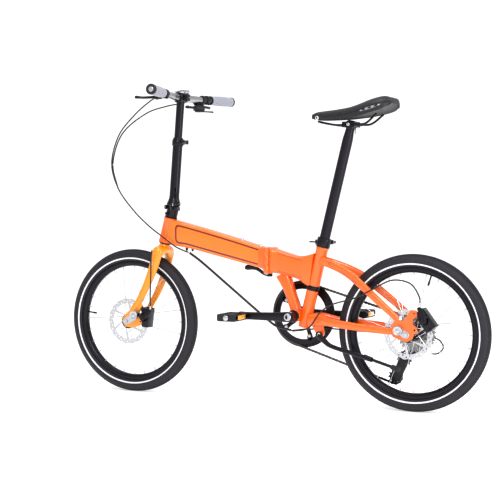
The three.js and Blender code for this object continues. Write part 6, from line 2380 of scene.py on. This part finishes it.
# rivets on the nose flanks: white plastic ring with a dark head
white_ring = patterned(
    "white_acetal",
    "ShaderNodeTexNoise",
    {"Scale": 300.0},
    ("#E6E6E8", "#F6F6F7"),
    out="Fac",
    Roughness=0.35,
)
bm = bmesh.new()
bm_head = bmesh.new()
for side in (-1, 1):
    spot = cover_point(190, side * 0.9)
    way = Vector((-0.25, side, 0.1)).normalized()
    foot = spot - way * 0.6
    turned(bm, foot, way, ((0, 3.4), (0, 6.4), (1.3, 6.4), (1.8, 5.8), (1.8, 3.6), (1.2, 3.4)), 28, loop=True)
    turned(bm_head, foot, way, ((0, 3.3), (1.9, 3.3), (2.4, 2.2), (2.5, 0.8)), 24)
piece("nose_rivet_rings", bm, "seat_assembly", white_ring)
piece("nose_rivet_heads", bm_head, "seat_assembly", anodised)

# pierced strips set in the rear flanks
bm = bmesh.new()
bm_dark = bmesh.new()
for side in (-1, 1):
    rows = []
    for k in range(15):
        x = 352 + 72 * k / 14
        half = 0.045 * math.sin(math.pi * (k + 0.5) / 15) ** 0.4
        mid = side * 0.87
        outer = [cover_point(x, mid - half * side, 0.9), cover_point(x, mid + half * side, 0.9)]
        inner = [cover_point(x, mid + half * side, -0.8), cover_point(x, mid - half * side, -0.8)]
        rows.append(
            [
                outer[0],
                outer[0].lerp(outer[1], 0.5),
                outer[1],
                inner[0],
                inner[0].lerp(inner[1], 0.5),
                inner[1],
            ]
        )
    skin(bm, rows)
    for k in range(3):
        x = 366 + 22 * k
        spot = cover_point(x, side * 0.87, 1.0)
        ahead = (cover_point(x + 6, side * 0.87, 1.0) - cover_point(x - 6, side * 0.87, 1.0)).normalized()
        across = (cover_point(x, side * 0.9, 1.0) - cover_point(x, side * 0.84, 1.0)).normalized()
        out = ahead.cross(across).normalized()
        if out.y * side < 0:
            out = -out
        rings = []
        for lift, grow in ((-0.6, 1.0), (0.25, 1.0), (0.35, 0.8)):
            rings.append(
                [
                    spot + out * lift + ahead * 7.4 * grow * math.cos(t) + across * 2.7 * grow * math.sin(t)
                    for t in [2 * math.pi * q / 20 for q in range(20)]
                ]
            )
        skin(bm_dark, rings)
piece("tail_strips", bm, "seat_assembly", plated)
piece("tail_strip_openings", bm_dark, "seat_assembly", rubber)

# ---- kickstand ----------------------------------------------------------------------------------------
# Cast alloy foot with a sprung pivot under the left chainstay, and a telescopic black leg, folded back.
bm = bmesh.new()
stand_axis = Vector((-0.309, 0.942, -0.13)).normalized()
stand_at = Vector((202, -30, 233))
turned(bm, stand_at, stand_axis, ((-9, 9.6), (-8, 11), (5, 11), (6, 9.6)), 32)
limb(
    bm,
    [
        ((200, -34, 233), 8, 9, (0.8, -0.3, -0.6)),
        ((226, -40, 214), 7.5, 8.5, (0.8, -0.2, -0.5)),
        ((262, -49, 197), 6.5, 7, (1, -0.22, -0.25)),
        ((390, -75, 171), 6, 6.5, (1, -0.2, -0.2)),
    ],
    steps=6,
    square=2.6,
    round_ends=2.0,
)
rod(bm, (372, -71, 174.5), (402, -77, 167.5), 9, 8)
piece("kickstand_upper_leg", bm, "kickstand", anodised, replaces=["kickstand"])
bm = bmesh.new()
rod(bm, (398, -76.4, 168.6), (478, -91, 149), 5)
piece("kickstand_sliding_leg", bm, "kickstand", post_finish)
bm = bmesh.new()
foot_a, foot_b = Vector((470, -89.6, 151)), Vector((498, -94.8, 144))
along = (foot_b - foot_a).normalized()
turned(
    bm,
    foot_a,
    along,
    (
        (0, 6.6), (0.8, 7.9), (9, 8.3), (9.6, 7.4), (10.6, 7.4), (11.2, 8.5), (18, 8.8), (18.6, 7.8),
        (19.6, 7.8), (20.2, 8.9), (28, 8.9), (29, 7.6),
    ),
    28,
)
piece("kickstand_foot", bm, "kickstand", rubber)
bm = bmesh.new()
cap_screw(bm, stand_at - stand_axis * 9, -stand_axis, 6, 3)
piece("kickstand_bolt", bm, "kickstand", plated)

# ---- cables -------------------------------------------------------------------------------------------
# Black 4.8 mm brake and shift housings. Four run as one bundle from the bar to the frame.
housing = patterned(
    "black_cable_housing",
    "ShaderNodeTexNoise",
    {"Scale": 250.0, "Detail": 2.0},
    ("#17161A", "#232227"),
    out="Fac",
    Roughness=0.32,
)

LOOP_LEFT = (
    (-356, -108, 1016), (-400, -80, 1006), (-470, -62, 964), (-540, -52, 896), (-572, -48, 800),
    (-548, -44, 712), (-490, -42, 638), (-430, -40, 584), (-376, -38, 546), (-330, -34, 514),
    (-304, -20, 499), (-290, -8, 492),
)
LOOP_RIGHT = (
    (-362, 96, 1012), (-412, 56, 1000), (-470, 10, 972), (-536, -36, 902), (-568, -46.5, 800),
    (-548, -46, 712),
)
SPAN = ((-287, -6, 490.4), (-240, -2, 458), (-120, 0, 366), (10, 0, 268), (44, 0, 250), (90, 0, 240))
REAR_BRAKE = (
    (93, 0, 239.6), (106, -20, 240), (124, -30, 243), (150, -35, 247), (178, -41, 262), (212, -48, 306),
    (262, -68, 336), (342, -74, 360), (400, -78, 388), (468, -84, 420), (530, -90, 412), (560, -92, 372),
    (560.5, -91, 344),
)
SHIFT = (
    (93, 0, 239.6), (106, 20, 240), (124, 29, 242), (160, 30, 244), (210, 31, 248), (300, 38, 244),
    (400, 50, 239), (440, 66, 236), (482, 86, 230), (526, 89, 231), (566, 92, 222), (582, 92, 198),
    (566, 92, 178), (542, 90, 174),
)
FRONT_BRAKE = (
    (-402, -65, 500), (-404, -68, 470), (-404, -70, 420), (-402, -78, 350), (-400, -81, 310),
    (-400, -81, 298),
)
HOUSING_RADIUS = 2.4


def stretch_of_cable(
    name, line, first, last, replaced, rides=None, bend=None, radius=HOUSING_RADIUS, rows=None
):
    """One length of housing from a line: control points first to last, 10 steps between them."""
    rows = rows or ring_rows(line, radius, radius, 14)
    begin, stop = first * 10, last * 10 + 1
    bm = bmesh.new()
    skin(bm, rows[begin:stop])
    part = line[begin:stop]
    if bend:
        a, b = bend
        lead = (part[-1] - part[0]).normalized() * 4.0
        bend = (a, b, list((part[0] + lead) / 1000), list((part[-1] - lead) / 1000))
    made = piece(name, bm, rides, housing, replaces=replaced, smooth=60, bend=bend)
    return made


loop_left = curve_through([Vector(p) for p in LOOP_LEFT], 10)
loop_right = curve_through([Vector(p) for p in LOOP_RIGHT], 10)
# each stretch spans the one joint that bends it: bar roll, telescope, handlepost fold and steering
stretch_of_cable("cable_left_at_bar", loop_left, 0, 2, ["cable_loop"], bend=("handlebar", "handlepost_upper"))
stretch_of_cable("cable_left_upper", loop_left, 2, 4, ["cable_loop"], bend=("handlepost_upper", "handlepost"))
stretch_of_cable("cable_bundle_lower", loop_left, 4, 7, ["cable_loop"], bend=("handlepost", "fork"))
stretch_of_cable("cable_bundle_to_frame", loop_left, 7, 11, ["cable_loop"], bend=("fork", "front_frame"))
stretch_of_cable(
    "cable_right_at_bar", loop_right, 0, 2, ["cable_loop"], bend=("handlebar", "handlepost_upper")
)
stretch_of_cable(
    "cable_right_upper", loop_right, 2, 4, ["cable_loop"], bend=("handlepost_upper", "handlepost")
)
stretch_of_cable("cable_right_joining", loop_right, 4, 5, ["cable_loop"], bend=("handlepost", "fork"))

# four housings run side by side under the main tube: one piece with four rounded lobes and a slow twist
SPAN_RADIUS = 4.1
span = curve_through([Vector(p) for p in SPAN], 10)
rows = []
for k, p in enumerate(span):
    ahead = (span[min(k + 1, len(span) - 1)] - span[max(k - 1, 0)]).normalized()
    ring = oval(p, 1.0, 1.0, ahead, 32)
    rows.append(
        [
            p + (q - p).normalized() * SPAN_RADIUS * (
                0.86 + 0.14 * abs(math.cos(2 * (math.pi * i / 16 + k * 0.03)))
            )
            for i, q in enumerate(ring)
        ]
    )
stretch_of_cable(
    "cable_span_bundle",
    span,
    0,
    5,
    ["cable_span"],
    bend=("front_frame", "rear_frame"),
    radius=SPAN_RADIUS,
    rows=rows,
)

for name, route, body, replaced in (
    ("cable_rear_brake", REAR_BRAKE, "rear_frame", ["cable_rear"]),
    ("cable_shift", SHIFT, "rear_frame", ["cable_rear"]),
    ("cable_front_brake", FRONT_BRAKE, "fork", ["cable_fork"]),
):
    line = curve_through([Vector(p) for p in route], 10)
    stretch_of_cable(name, line, 0, len(route) - 1, replaced, rides=body)
    bm = bmesh.new()
    along = (line[-1] - line[-4]).normalized()
    skin(
        bm,
        [
            oval(line[-1] + along * at, r, r, along, 18)
            for at, r in ((-11, 2.5), (-10.8, 3.1), (-1, 3.1), (0, 2.9), (0.6, 1.6))
        ],
    )
    piece(f"{name}_ferrule", bm, body, plated, smooth=40)
